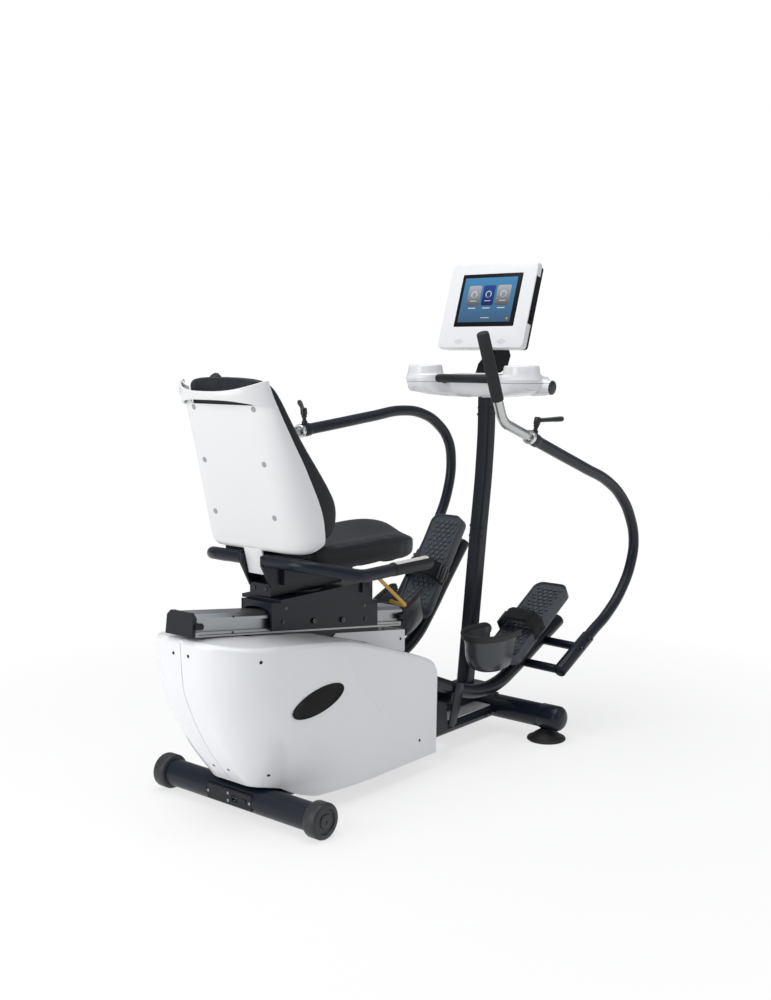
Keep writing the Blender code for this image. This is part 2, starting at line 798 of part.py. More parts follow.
def lever_rocker():
    body = joint("lever_rocker_pin", (ROCKER_X, 0, sum(ROCKER_Z) / 2), ROOT)
    half = ROCKER_WIDTH / 2
    low = (ROCKER_X - half, -ROCKER_HALF, ROCKER_Z[0])
    beam = box("rocker", low, (ROCKER_X + half, ROCKER_HALF, ROCKER_Z[1]), bevel=0.003, segments=1)
    bore_top = (ROCKER_X, 0, ROCKER_Z[1] + REACH)
    hole = bore((ROCKER_X, 0, ROCKER_Z[0] - REACH), bore_top, ROCKER_PIN_RADIUS)
    node("lever_rocker", cut(beam, hole), STEEL, body)


# Drive

def shaft_profile(sections):
    """A stepped profile from (radius, low, high) sections, listed from the top down."""
    profile = [(0, sections[0][2])]
    for radius, low, high in sections:
        profile += [(radius, high), (radius, low)]
    return profile + [(0, sections[-1][1])]


def drive():
    pulley_shaft = shaft_profile([
        (SHAFT_RADIUS, PULLEY_HALF, SHAFT_HALF),
        (PULLEY_RADIUS, -PULLEY_HALF, PULLEY_HALF),
        (SHAFT_RADIUS, -SHAFT_HALF, -PULLEY_HALF),
    ])
    place = (PULLEY_X, 0, PULLEY_Z)
    pulley = turned("pulley", pulley_shaft, place, (0, 1, 0), 24)
    node("drive_pulley", pulley, STEEL, joint("drive_pulley_shaft", place, ROOT))

    brake_shaft = shaft_profile([
        (SHAFT_RADIUS, BRAKE_Y[1], SHAFT_HALF),
        (BRAKE_RADIUS, BRAKE_Y[0], BRAKE_Y[1]),
        (SHAFT_RADIUS, PULLEY_HALF, BRAKE_Y[0]),
        (SHEAVE_RADIUS, -PULLEY_HALF, PULLEY_HALF),
        (SHAFT_RADIUS, -SHAFT_HALF, -PULLEY_HALF),
    ])
    place = (BRAKE_X, 0, BRAKE_Z)
    brake = turned("brake", brake_shaft, place, (0, 1, 0), 16)
    node("brake_disc", brake, STEEL, joint("brake_disc_shaft", place, ROOT))

    def loop(extra):
        """The taut loop round both wheels, at a distance from their rims."""
        big, small = PULLEY_RADIUS + extra, SHEAVE_RADIUS + extra
        apart = math.hypot(PULLEY_X - BRAKE_X, PULLEY_Z - BRAKE_Z)
        lean = math.asin((big - small) / apart)
        points = []
        for x, z, radius, start, turn in (
            (PULLEY_X, PULLEY_Z, big, -math.pi / 2 - lean, math.pi + 2 * lean),
            (BRAKE_X, BRAKE_Z, small, math.pi / 2 + lean, math.pi - 2 * lean),
        ):
            steps = 20 if radius == big else 8
            for i in range(steps + 1):
                angle = start + turn * i / steps
                points.append((x + radius * math.cos(angle), z + radius * math.sin(angle)))
        return points

    room = 2 * GAP
    belt = plate("belt", loop(room + BELT_THICKNESS), -BELT_HALF, BELT_HALF, holes=[loop(room)])
    node("drive_belt", belt, RUBBER, ROOT)


# Shroud: each half is one surface from the seam round to the open front

SHROUD_SEAM_LINE = ((0.096, -0.035), (0.211, -0.119), (0.315, -0.174), (0.417, -0.209), (0.545, -0.217))
SHROUD_BOW = ((0.050, 0.400), (0.130, 0.350), (0.270, 0.260), (0.545, 0.165))
SHROUD_WIDTHS = ((0.050, 0.204), (0.300, SHROUD_HALF_WIDTH), (0.430, 0.207), (0.530, 0.198))
SHROUD_SIDE_TOP = (
    (-0.217, 0.536), (-0.155, 0.526), (-0.052, 0.520), (0.100, 0.504), (0.219, 0.488),
    (0.359, 0.452), (0.490, 0.409), (0.610, 0.362), (0.640, 0.338), (0.655, 0.300),
)
SHROUD_MIDDLE_TOP = (
    (-0.217, 0.546), (-0.155, 0.5445), (0.000, 0.5245), (0.100, 0.511), (0.219, 0.494),
    (0.347, 0.456), (0.490, 0.414), (0.610, 0.366), (0.640, 0.342), (0.655, 0.304),
)
SHROUD_HEM = (
    (-0.050, 0.100), (-0.030, 0.100), (0.020, 0.0935), (0.045, 0.080), (0.085, 0.062),
    (0.135, 0.050), (0.655, 0.050),
)
SHROUD_COLUMNS = (0.12, 0.28, 0.46, 0.70, 1.0)
SHROUD_STRAIGHT = (0.03, 0.30, 0.58, 0.80, 0.90, 0.96, 1.0)
SHROUD_EDGE = 0.012


def shroud_half(word, side):
    seam = SHROUD_SEAM / 2

    def plan(column, z):
        """Where a column of the wall stands at height z."""
        kind, share = column
        rear = between(SHROUD_SEAM_LINE, z)
        width = held(SHROUD_WIDTHS, z)
        bow = held(SHROUD_BOW, z)
        if kind == "band":
            return rear, seam + (SHROUD_BAND - seam) * share
        if kind == "bow":
            angle = share * math.pi / 2
            x = rear + bow * (1 - math.cos(angle))
            return x, SHROUD_BAND + (width - SHROUD_BAND) * math.sin(angle)
        return rear + bow + (SHROUD_FRONT_X - rear - bow) * share, width

    columns = [("band", 0.0), ("band", 1.0)]
    columns += [("bow", share) for share in SHROUD_COLUMNS]
    columns += [("straight", share) for share in SHROUD_STRAIGHT]
    lines = []
    for column in columns:
        hem = SHROUD_HEM[0][1]
        for _ in range(20):
            hem = held(SHROUD_HEM, plan(column, hem)[0])
        crest = SHROUD_SIDE_TOP[0][1]
        for _ in range(20):
            x, y = plan(column, crest - SHROUD_EDGE)
            across = (y / SHROUD_HALF_WIDTH) ** 2
            middle = held(SHROUD_MIDDLE_TOP, x)
            crest = middle + (held(SHROUD_SIDE_TOP, x) - middle) * across
        line = []
        rows = 4
        for i in range(rows + 1):
            z = hem + (crest - SHROUD_EDGE - hem) * i / rows
            line.append((*plan(column, z), z))
        x, y, z = line[-1]
        slot = SHROUD_SLOT if x > SUPPORT_X[0] - 0.02 else seam
        inward = max(y - slot, 0.0)
        edge = min(SHROUD_EDGE, inward)
        forward = 0 if column[0] == "straight" else 0.8 * edge
        for angle in (0.7, math.pi / 2):
            turned_in = 1 - math.cos(angle)
            line.append((x + forward * turned_in, y - edge * turned_in, z + SHROUD_EDGE * math.sin(angle)))
        top_x, top_y, _ = line[-1]
        for share in (0.5, 1.0):
            inner_y = top_y + (min(slot, top_y) - top_y) * share
            across = (inner_y / SHROUD_HALF_WIDTH) ** 2
            middle = held(SHROUD_MIDDLE_TOP, top_x)
            line.append((top_x, inner_y, middle + (held(SHROUD_SIDE_TOP, top_x) - middle) * across))
        lines.append([(px, side * py, pz) for px, py, pz in line])
    rows = [list(row) for row in zip(*lines)]
    half = sheet(f"shroud_{word}", rows, SHROUD_WALL, side)
    node(f"shroud_{word}", half, WHITE, ROOT, sharp=40)


def rail_fairing():
    rear, front = FAIRING_X
    inner, outer = FAIRING_Y
    wall = outer - inner
    lift = 0.0010

    def low(x):
        return held(SHROUD_MIDDLE_TOP, x) + lift

    last = SHROUD_FRONT_X - 0.01
    stations = [rear] + [x for x, _ in SHROUD_MIDDLE_TOP if rear < x < last] + [last]
    bottom = [(x, low(x)) for x in stations] + [(front, low(stations[-1]) + 0.020)]
    top = [(front, on_rail(front, -FAIRING_DROP)), (rear + 0.012, on_rail(rear, -FAIRING_DROP))]
    pieces = [plate("side", bottom + top, *sorted((side * inner, side * outer))) for side in SIDES.values()]
    front_low = (front - wall, -outer + wall / 2, low(stations[-1]) + 0.022)
    front_high = (front, outer - wall / 2, on_rail(front, -FAIRING_DROP) - 0.001)
    pieces.append(box("front", front_low, front_high))
    node("rail_fairing", union(*pieces), WHITE, ROOT)


# Post: rounded square rings that stay level

def post_ring(x, z):
    corners = [(-1, -1), (1, -1), (1, 1), (-1, 1)]
    square = [(x + POST_HALF * a, POST_HALF * b, z) for a, b in corners]
    return filleted(square, POST_CORNER, steps=3, closed=True)


def post():
    foot, head = POST_LOWER
    lower = loft("lower", [post_ring(*foot), post_ring(head[0], head[1] - GAP)])
    node("post_lower", lower, DARK_PAINT, ROOT)
    top = (POST_UPPER[-1][0], TRAY_LOW_Z - GAP)
    node("post_upper", loft("upper", [post_ring(*point) for point in (*POST_UPPER[:-1], top)]), DARK_PAINT, ROOT)


# Tray

TRAY_OUTLINE = (
    (1.118, 0.000), (1.116, 0.085), (1.098, 0.118), (1.066, 0.145), (1.047, 0.172), (1.040, 0.205),
    (1.049, 0.243), (1.078, 0.272), (1.125, TRAY_HALF), (1.190, TRAY_HALF), (1.240, 0.262),
    (1.266, 0.205), (1.276, 0.110), (1.278, 0.000),
)
TRAY_MIDDLE_X = 1.200
LEG_RADIUS = 0.008
LEG_Y = 0.100
LEG_END_X = 1.128
RECESS_DEPTH = 0.008
BRACKET_SEAT_Z = TRAY_RIM_Z + 0.004
BRACKET_SEAT_X = (1.160, 1.262)
BRACKET_SEAT_HALF = 0.040


def tray_ring(scale_x, scale_y, z):
    """The tray's outline drawn in about its middle."""
    half = [(TRAY_MIDDLE_X + (x - TRAY_MIDDLE_X) * scale_x, y * scale_y) for x, y in TRAY_OUTLINE]
    other = [(x, -y) for x, y in half[-2:0:-1]]
    return [(x, y, z) for x, y in half + other]


def tray():
    levels = ((0.45, 0.16, TRAY_LOW_Z), (0.62, 0.45, 1.1605), (0.80, 0.72, 1.1700), (0.93, 0.90, 1.1850))
    rings = [tray_ring(*level) for level in levels]
    rings.append(tray_ring(1.0, 1.0, TRAY_SEAM_Z - GAP / 2))
    tube_end = (TRAY_TUBE_X, TRAY_TUBE_HALF, TRAY_TUBE_Z)
    ends = rod("ends", (TRAY_TUBE_X, -TRAY_TUBE_HALF, TRAY_TUBE_Z), tube_end, TRAY_TUBE_RADIUS, 14)
    above = box(
        "above",
        (TRAY_REAR_X - REACH, -TRAY_TUBE_HALF - REACH, TRAY_SEAM_Z - GAP / 2),
        (TRAY_FRONT_X + REACH, TRAY_TUBE_HALF + REACH, TRAY_SEAM_Z + REACH),
    )
    node("tray_lower", cut(union(loft("lower", rings), ends), above), WHITE, ROOT)

    floor = TRAY_SEAM_Z + GAP / 2
    rim_start = TRAY_RIM_Z - 0.005
    rings = [tray_ring(1.0, 1.0, floor), tray_ring(1.0, 1.0, rim_start), tray_ring(0.97, 0.985, TRAY_RIM_Z)]
    pieces = [loft("upper", rings)]
    cutters = []
    for side in SIDES.values():
        centre = (CUP_X, side * CUP_Y)
        boss = [(0, CUP_TOP_Z), (CUP_RADIUS - 0.004, CUP_TOP_Z), (CUP_RADIUS, CUP_TOP_Z - 0.004)]
        boss += [(CUP_RADIUS, floor + 0.004), (0, floor + 0.004)]
        pieces.append(turned("boss", boss, (*centre, 0), (0, 0, 1), 20))
        well = [(0, CUP_TOP_Z + REACH), (CUP_BORE, CUP_TOP_Z + REACH)]
        well += [(CUP_BORE - 0.003, CUP_FLOOR_Z), (0, CUP_FLOOR_Z)]
        cutters.append(turned("well", well, (*centre, 0), (0, 0, 1), 20))
        low, high = sorted((side * 0.062, side * 0.235))
        recess_low = (1.185, low, TRAY_RIM_Z - RECESS_DEPTH)
        cutters.append(box("recess", recess_low, (1.258, high, TRAY_RIM_Z + REACH), bevel=0.012))
        y = side * LEG_Y
        leg_end = LEG_END_X + GAP
        cutters.append(bore((GRIP_BAR_X, y, GRIP_BAR_Z), (leg_end, y, GRIP_BAR_Z), LEG_RADIUS))
    seat_low = (BRACKET_SEAT_X[0], -BRACKET_SEAT_HALF, floor + 0.004)
    pieces.append(box("seat", seat_low, (BRACKET_SEAT_X[1], BRACKET_SEAT_HALF, BRACKET_SEAT_Z)))
    node("tray_upper", cut(union(*pieces), *cutters), WHITE, ROOT)


def tray_grip_bar():
    """A slightly bowed bar with two legs that plug into the tray's rear edge."""
    bow = 0.002
    points = [
        (GRIP_BAR_X + bow, -GRIP_BAR_HALF, GRIP_BAR_Z),
        (GRIP_BAR_X, -0.6 * GRIP_BAR_HALF, GRIP_BAR_Z),
        (GRIP_BAR_X - bow / 2, 0, GRIP_BAR_Z),
        (GRIP_BAR_X, 0.6 * GRIP_BAR_HALF, GRIP_BAR_Z),
        (GRIP_BAR_X + bow, GRIP_BAR_HALF, GRIP_BAR_Z),
    ]
    pieces = [tube("bar", points, GRIP_BAR_RADIUS, resolution=2, rings=2)]
    for side in SIDES.values():
        y = side * LEG_Y
        pieces.append(rod("leg", (GRIP_BAR_X, y, GRIP_BAR_Z), (LEG_END_X, y, GRIP_BAR_Z), LEG_RADIUS, 12))
    node("tray_grip_bar", union(*pieces), BLACK_PLASTIC, ROOT)


# Console, in a frame whose X runs into the housing and whose Z climbs its face

MONITOR_PLACE = Matrix.Translation((MONITOR_FOOT[0], 0, MONITOR_FOOT[1]))
MONITOR_PLACE = MONITOR_PLACE @ Matrix.Rotation(MONITOR_TILT, 4, "Y")
TILT_AT = (0.075, 0.070)
TILT_PIN_RADIUS = 0.005
LUG_HALF = 0.012


def console():
    pivot = MONITOR_PLACE @ Vector((TILT_AT[0], 0, TILT_AT[1]))
    body = joint("monitor_tilt_pin", pivot, ROOT)
    half = MONITOR_WIDTH / 2
    bezel = box("bezel", (0, -half, 0), (BEZEL_DEPTH, half, MONITOR_HEIGHT), bevel=0.010)
    inner = half - BEZEL_WALL
    hollow = box(
        "hollow",
        (BEZEL_WALL, -inner, BEZEL_WALL),
        (BEZEL_DEPTH + REACH, inner, MONITOR_HEIGHT - BEZEL_WALL),
        bevel=0.004,
        segments=1,
    )
    window_low = (-REACH, -GLASS_Y - GAP, GLASS_H[0] - GAP)
    window = box("window", window_low, (REACH, GLASS_Y + GAP, GLASS_H[1] + GAP))
    node("monitor_bezel", moved(cut(bezel, hollow, window), MONITOR_PLACE), WHITE, body)

    glass = box("glass", (0.001, -GLASS_Y, GLASS_H[0]), (0.001 + GLASS_THICKNESS, GLASS_Y, GLASS_H[1]))
    node("monitor_screen", moved(glass, MONITOR_PLACE), GLASS, body)

    edge = 0.006
    low = (BEZEL_DEPTH + GAP, -half + edge, edge)
    back = box("back", low, (BEZEL_DEPTH + BACK_DEPTH, half - edge, MONITOR_HEIGHT - edge), bevel=0.005)
    core = inner - GAP
    core_low = (0.001 + GLASS_THICKNESS + GAP, -GLASS_Y, GLASS_H[0])
    chassis = box("chassis", core_low, (BEZEL_DEPTH + 0.008, GLASS_Y, GLASS_H[1]))
    rim_low = (BEZEL_WALL + 0.012, -core, BEZEL_WALL + GAP)
    rim_high = (BEZEL_DEPTH + 0.008, core, MONITOR_HEIGHT - BEZEL_WALL - GAP)
    rim = box("rim", rim_low, rim_high, bevel=0.004, segments=1)
    lug_radius = TILT_PIN_RADIUS + 0.009
    lug = rod("lug", (TILT_AT[0], -LUG_HALF, TILT_AT[1]), (TILT_AT[0], LUG_HALF, TILT_AT[1]), lug_radius, 16)
    neck_low = (BEZEL_DEPTH + 0.008, -LUG_HALF, TILT_AT[1] - lug_radius * 0.8)
    neck = box("neck", neck_low, (TILT_AT[0], LUG_HALF, TILT_AT[1] + lug_radius * 0.8))
    back = union(back, chassis, rim, lug, neck)
    hole_end = (TILT_AT[0], REACH, TILT_AT[1])
    hole = bore((TILT_AT[0], -REACH, TILT_AT[1]), hole_end, TILT_PIN_RADIUS)
    node("monitor_back", moved(cut(back, hole), MONITOR_PLACE), BLACK_PLASTIC, body)

    ear = 0.0155
    outline = [
        (BRACKET_SEAT_X[0] + 0.006, BRACKET_SEAT_Z + GAP),
        (BRACKET_SEAT_X[1] - 0.006, BRACKET_SEAT_Z + GAP),
        (1.300, 1.262),
        (1.318, 1.300),
        (1.300, 1.338),
        (pivot.x + ear, pivot.z + 0.6 * ear),
        (pivot.x + 0.4 * ear, pivot.z + ear),
        (pivot.x - 0.4 * ear, pivot.z + ear),
        (pivot.x - ear, pivot.z + 0.2 * ear),
        (1.228, 1.345),
        (1.214, 1.296),
        (1.182, 1.272),
    ]
    arm_half = LUG_HALF + GAP + 0.010
    bracket = plate("bracket", outline, -arm_half, arm_half)
    slot_low = (pivot.x - 2 * ear, -LUG_HALF - GAP, pivot.z - 0.026)
    slot = box("slot", slot_low, (pivot.x + 0.016, LUG_HALF + GAP, pivot.z + REACH))
    pin_end = (pivot.x, arm_half, pivot.z)
    pin = rod("pin", (pivot.x, -arm_half, pivot.z), pin_end, TILT_PIN_RADIUS, 12)
    node("monitor_bracket", union(cut(bracket, slot), pin), BLACK_PLASTIC, ROOT)


# Carriage, which runs along the rail, and the swivel base on it

def band_on_rail(name, low, high, y_low, y_high):
    """A wall along the carriage, between two heights over the rail's underside."""
    rear, front = CARRIAGE_X
    outline = [
        (rear, on_rail(rear, low)),
        (front, on_rail(front, low)),
        (front, on_rail(front, high)),
        (rear, on_rail(rear, high)),
    ]
    return plate(name, outline, y_low, y_high)


def carriage():
    body = joint("carriage_slide", (SEAT_AXIS_X, 0, on_rail(SEAT_AXIS_X, RAIL_TOP)), ROOT)
    inner = CARRIAGE_HALF - CARRIAGE_WALL
    pieces = [band_on_rail("top", CARRIAGE_TOP - CARRIAGE_WALL, CARRIAGE_TOP, -CARRIAGE_HALF, CARRIAGE_HALF)]
    for side in SIDES.values():
        low, high = sorted((side * inner, side * CARRIAGE_HALF))
        pieces.append(band_on_rail("side", CARRIAGE_LOW, CARRIAGE_TOP, low, high))
    tuck = 0.001
    for x in (CARRIAGE_X[0] + tuck, CARRIAGE_X[1] - CARRIAGE_WALL - tuck):
        foot = on_rail(x, 0)
        steps = 8
        arch = []
        for i in range(steps + 1):
            angle = math.pi * i / steps
            arch.append((0.054 * math.cos(angle), foot + 0.058 + 0.014 * math.sin(angle)))
        wide = CARRIAGE_HALF - tuck
        outline = [(wide, foot + CARRIAGE_LOW + tuck), (wide, foot + CARRIAGE_TOP - tuck)]
        outline += [(-y, z) for y, z in reversed(outline)]
        outline += [(-0.054, outline[0][1]), *reversed(arch), (0.054, outline[0][1])]
        pieces.append(plate("end", outline, x, x + CARRIAGE_WALL, "YZ"))
    holes = []
    axle_height = RAIL_TOP + GAP + ROLLER_RADIUS
    for x in ROLLER_X:
        z = on_rail(x, axle_height)
        holes.append(bore((x, -BASE_Y, z), (x, BASE_Y, z), ROLLER_AXLE_RADIUS))
    node("carriage", cut(union(*pieces), *holes), DARK_PAINT, body)

    near, far = ROLLER_Y
    profile = shaft_profile([
        (ROLLER_AXLE_RADIUS, far, CARRIAGE_HALF),
        (ROLLER_RADIUS, near, far),
        (ROLLER_AXLE_RADIUS, -near, near),
        (ROLLER_RADIUS, -far, -near),
        (ROLLER_AXLE_RADIUS, -CARRIAGE_HALF, -far),
    ])
    for word, x in zip(("rear", "front"), ROLLER_X):
        place = (x, 0, on_rail(x, axle_height))
        wheels = turned("wheels", profile, place, (0, 1, 0), 14)
        node(f"carriage_wheelset_{word}", wheels, RUBBER, joint(f"carriage_axle_{word}", place, body))
    return body


def swivel_base(body):
    rear, front = SWIVEL_X
    outline = [
        (rear, on_rail(rear, CARRIAGE_TOP + GAP)),
        (front, on_rail(front, CARRIAGE_TOP + GAP)),
        (front, SWIVEL_TOP_Z),
        (rear, SWIVEL_TOP_Z),
    ]
    pieces = [plate("wedge", outline, -SWIVEL_HALF, SWIVEL_HALF)]
    ear_low = (RELEASE_X - EAR_HALF, -EAR_Y[1], SWIVEL_TOP_Z - 0.030)
    ear_high = (RELEASE_X + EAR_HALF, -EAR_Y[0] + 0.004, SWIVEL_TOP_Z - 0.002)
    pieces.append(box("ear_root", ear_low, ear_high))
    ear_low = (RELEASE_X - EAR_HALF, -EAR_Y[1], SWIVEL_TOP_Z - 0.010)
    pieces.append(box("ear", ear_low, (RELEASE_X + EAR_HALF, -EAR_Y[0], RELEASE_Z + EAR_HALF * 0.8)))
    hole_start = (RELEASE_X, -EAR_Y[1] - REACH, RELEASE_Z)
    hole_end = (RELEASE_X, -EAR_Y[0] + REACH, RELEASE_Z)
    hole = bore(hole_start, hole_end, RELEASE_RADIUS)
    node("swivel_base", cut(union(*pieces), hole), DARK_PAINT, body)

    pin = joint("seat_release_pin", (RELEASE_X, -EAR_Y[1], RELEASE_Z), body)
    y = -0.130
    route = [
        (RELEASE_X, -EAR_Y[0] + 0.002, RELEASE_Z),
        (RELEASE_X, y, RELEASE_Z),
        (0.480, y, 0.615),
        (0.596, y, 0.522),
        (0.592, y + 0.062, 0.531),
    ]
    handle = tube("release", filleted(route, 0.012, steps=2), RELEASE_RADIUS, resolution=2)
    node("seat_release_lever", handle, YELLOW, pin)


# Seat

def shell_rear(z):
    """Where the back shell's rear plane stands at height z."""
    return SHELL_FOOT_X + (SHELL_FOOT_Z - z) * SHELL_LEAN


def seat_frame(body):
    low_z, high_z = BEAM_Z
    top = low_z + 0.002
    turntable = [(0, top), (TURNTABLE_RADIUS, top), (TURNTABLE_RADIUS, SWIVEL_TOP_Z + GAP)]
    turntable.append((0, SWIVEL_TOP_Z + GAP))
    pieces = [turned("turntable", turntable, (SEAT_AXIS_X, 0, 0), (0, 0, 1), 20)]
    pieces.append(box("beam", (BEAM_X[0], -BEAM_HALF, low_z), (BEAM_X[1], BEAM_HALF, high_z)))
    riser_low = (RISER_X[0], -RISER_HALF, high_z - 0.005)
    pieces.append(box("riser", riser_low, (RISER_X[1], RISER_HALF, PAN_Z[0] + 0.005)))
    pan_low = (PAN_X[0], -PAN_HALF, PAN_Z[0])
    pieces.append(box("pan", pan_low, (PAN_X[1], PAN_HALF, PAN_Z[1]), bevel=0.006))
    inner, outer = BRACKET_Y
    outline = [
        (HUB_X - 0.017, HUB_Z - 0.014),
        (HUB_X - 0.017, HUB_Z + 0.014),
        (HUB_X + 0.020, HUB_Z + 0.014),
        (0.100, PAN_Z[1] - 0.0005),
        (0.165, PAN_Z[1] - 0.0005),
        (0.140, high_z - 0.010),
        (BEAM_X[0] + 0.001, high_z - 0.010),
    ]
    for side in SIDES.values():
        pieces.append(plate("bracket", outline, *sorted((side * inner, side * outer))))
        y = side * (inner + outer) / 2
        hub_end = (HUB_X, side * HUB_ROD_END, HUB_Z)
        pieces.append(rod("hub", (HUB_X, y, HUB_Z), hub_end, HUB_ROD_RADIUS, 12))
    seat_low, seat_high = TONGUE_BOTTOM_Z + 0.004, HUB_Z + 0.010
    gap = TONGUE_THICKNESS + GAP
    rest = [
        (shell_rear(seat_low) + gap, seat_low),
        (shell_rear(seat_low) + gap + 0.014, seat_low),
        (shell_rear(seat_high) + gap + 0.014, seat_high),
        (shell_rear(seat_high) + gap, seat_high),
    ]
    pieces.append(plate("back_rest", rest, -inner - 0.002, inner + 0.002))
    node("seat_frame", union(*pieces), DARK_PAINT, body)


SEAT_SECTIONS = (
    # (x, half width, bottom, edge top, middle top)
    (0.100, 0.190, 0.7262, 0.758, 0.760),
    (0.135, 0.206, 0.7256, 0.771, 0.768),
    (0.460, 0.206, 0.7256, 0.767, 0.772),
    (0.490, 0.204, 0.7256, 0.766, 0.782),
    (0.560, 0.180, 0.6900, 0.752, 0.792),
    (0.648, 0.100, 0.7050, 0.730, 0.762),
)


def seat_cushion(body):
    rings = []
    for x, half, bottom, edge, middle in SEAT_SECTIONS:
        right = [
            (0.90 * half, bottom),
            (half, bottom + 0.25 * (edge - bottom)),
            (half, edge - 0.25 * (edge - bottom)),
            (0.90 * half, edge),
            (0.36 * half, middle),
        ]
        rings.append([(x, y, z) for y, z in right] + [(x, -y, z) for y, z in reversed(right)])
    node("seat_cushion", softened(loft("seat_cushion", rings)), UPHOLSTERY, body, sharp=60)


SHELL_WIDTHS = ((SHELL_BOTTOM_Z, 0.203), (0.800, 0.206), (1.240, 0.1675))
SHELL_SIDE_EDGE = (
    (SHELL_BOTTOM_Z, 0.082), (0.765, 0.112), (0.786, 0.137), (0.840, 0.133), (0.980, 0.081), (1.082, 0.030),
    (1.196, -0.024), (1.240, -0.040),
)
SHELL_ROWS = (SHELL_BOTTOM_Z, 0.765, 0.786, 0.840, 0.980, 1.082, 1.165, 1.240)
SHELL_CORNER = 0.030
SHELL_OPENING = (1.172, 0.128)
BAND_Z = (1.176, 1.208)


def back_shell(body):
    rows = []
    for z in SHELL_ROWS:
        rear, half = shell_rear(z), held(SHELL_WIDTHS, z)
        edge = held(SHELL_SIDE_EDGE, z)
        corner = min(SHELL_CORNER, (edge - rear) * 0.8)
        right = [(rear, 0.0), (rear, 0.45 * half), (rear, half - SHELL_CORNER)]
        for angle in (0.5, 1.0, math.pi / 2):
            y = half - SHELL_CORNER * (1 - math.sin(angle))
            right.append((rear + corner * (1 - math.cos(angle)), y))
        right.append((edge, half))
        rows.append([(x, -y, z) for x, y in reversed(right[1:])] + [(x, y, z) for x, y in right])
    dish = sheet("dish", rows, SHELL_WALL, 1)
    low, high = TONGUE_BOTTOM_Z, 0.775
    outline = [
        (shell_rear(low), low),
        (shell_rear(low) + TONGUE_THICKNESS, low),
        (shell_rear(high) + TONGUE_THICKNESS, high),
        (shell_rear(high), high),
    ]
    tongue = plate("tongue", outline, -TONGUE_HALF, TONGUE_HALF)
    opening_z, opening_y = SHELL_OPENING
    rear = shell_rear(opening_z)
    opening = box("opening", (rear - 0.06, -opening_y, opening_z), (rear + 0.03, opening_y, opening_z + 0.2))
    dish = cut(union(dish, tongue), opening)

    half = held(SHELL_WIDTHS, BAND_Z[1]) - SHELL_WALL / 2
    steps = 12
    band_rows = []
    for low, rise in ((BAND_Z[0], 0.022), (BAND_Z[1], 0.031)):
        row = []
        for i in range(steps + 1):
            share = 2 * i / steps - 1
            z = low + rise * abs(share) ** 3
            bulge = HANDLE_BULGE * (1 - abs(share) ** 3)
            row.append((shell_rear(z) + 0.012 - bulge - 0.012 * (1 - abs(share) ** 3), share * half, z))
        band_rows.append(row)
    band = sheet("band", band_rows, 0.007, 1)
    node("back_shell", union(dish, band), WHITE, body, sharp=40)


CUSHION_DRAW = 0.0010  # how far the smooth form draws in from its cage
BACK_SECTIONS = (
    # (z, front x, share of the shell's width)
    (0.7785, 0.160, 0.96),
    (0.800, 0.215, 1.0),
    (0.890, 0.238, 1.0),
    (1.060, 0.115, 1.0),
    (1.215, 0.026, 1.0),
    (1.258, -0.030, 0.95),
)


def back_cushion(body):
    rings = []
    for z, front, share in BACK_SECTIONS:
        rear = shell_rear(z) + SHELL_WALL + GAP - CUSHION_DRAW
        half = (held(SHELL_WIDTHS, z) - SHELL_WALL - 2 * GAP) * share
        right = [
            (rear, 0.84 * half),
            (rear + SHELL_CORNER, half),
            (front - 0.35 * (front - rear - SHELL_CORNER), half),
            (front, 0.86 * half),
            (front - 0.006, 0.36 * half),
        ]
        rings.append([(x, y, z) for x, y in right] + [(x, -y, z) for x, y in reversed(right)])
    node("back_cushion", softened(loft("back_cushion", rings)), UPHOLSTERY, body, sharp=60)


def armrests(seat_body):
    for word, side in SIDES.items():
        start = BRACKET_Y[1] + GAP
        body = joint(f"armrest_hub_{word}", (HUB_X, side * start, HUB_Z), seat_body)
        route = [
            (HUB_X, side * start, HUB_Z),
            (HUB_X, side * ARMREST_TURN_Y, HUB_Z),
            (ARMREST_ELBOW_X, side * ARMREST_Y, ARMREST_Z),
            (ARMREST_END_X, side * ARMREST_Y, ARMREST_Z),
        ]
        arm = tube("arm", filleted(route, 0.060), ARMREST_RADIUS)
        bore_end = (HUB_X, side * (HUB_ROD_END + GAP), HUB_Z)
        hub_hole = bore((HUB_X, side * (start - REACH), HUB_Z), bore_end, HUB_ROD_RADIUS)
        node(f"armrest_{word}", cut(arm, hub_hole), DARK_PAINT, body)

        far = ARMREST_END_X + GAP + 0.003
        near_end = (ARM_GRIP_X, side * ARMREST_Y, ARMREST_Z)
        grip = rod("grip", near_end, (far, side * ARMREST_Y, ARMREST_Z), ARM_GRIP_RADIUS, 16)
        bore_start = (ARM_GRIP_X - REACH, side * ARMREST_Y, ARMREST_Z)
        bore_end = (ARMREST_END_X + GAP, side * ARMREST_Y, ARMREST_Z)
        grip_hole = bore(bore_start, bore_end, ARMREST_RADIUS)
        node(f"armrest_grip_{word}", cut(grip, grip_hole), FOAM, body)


# Foot levers with their arms, all in the right lever's rest position

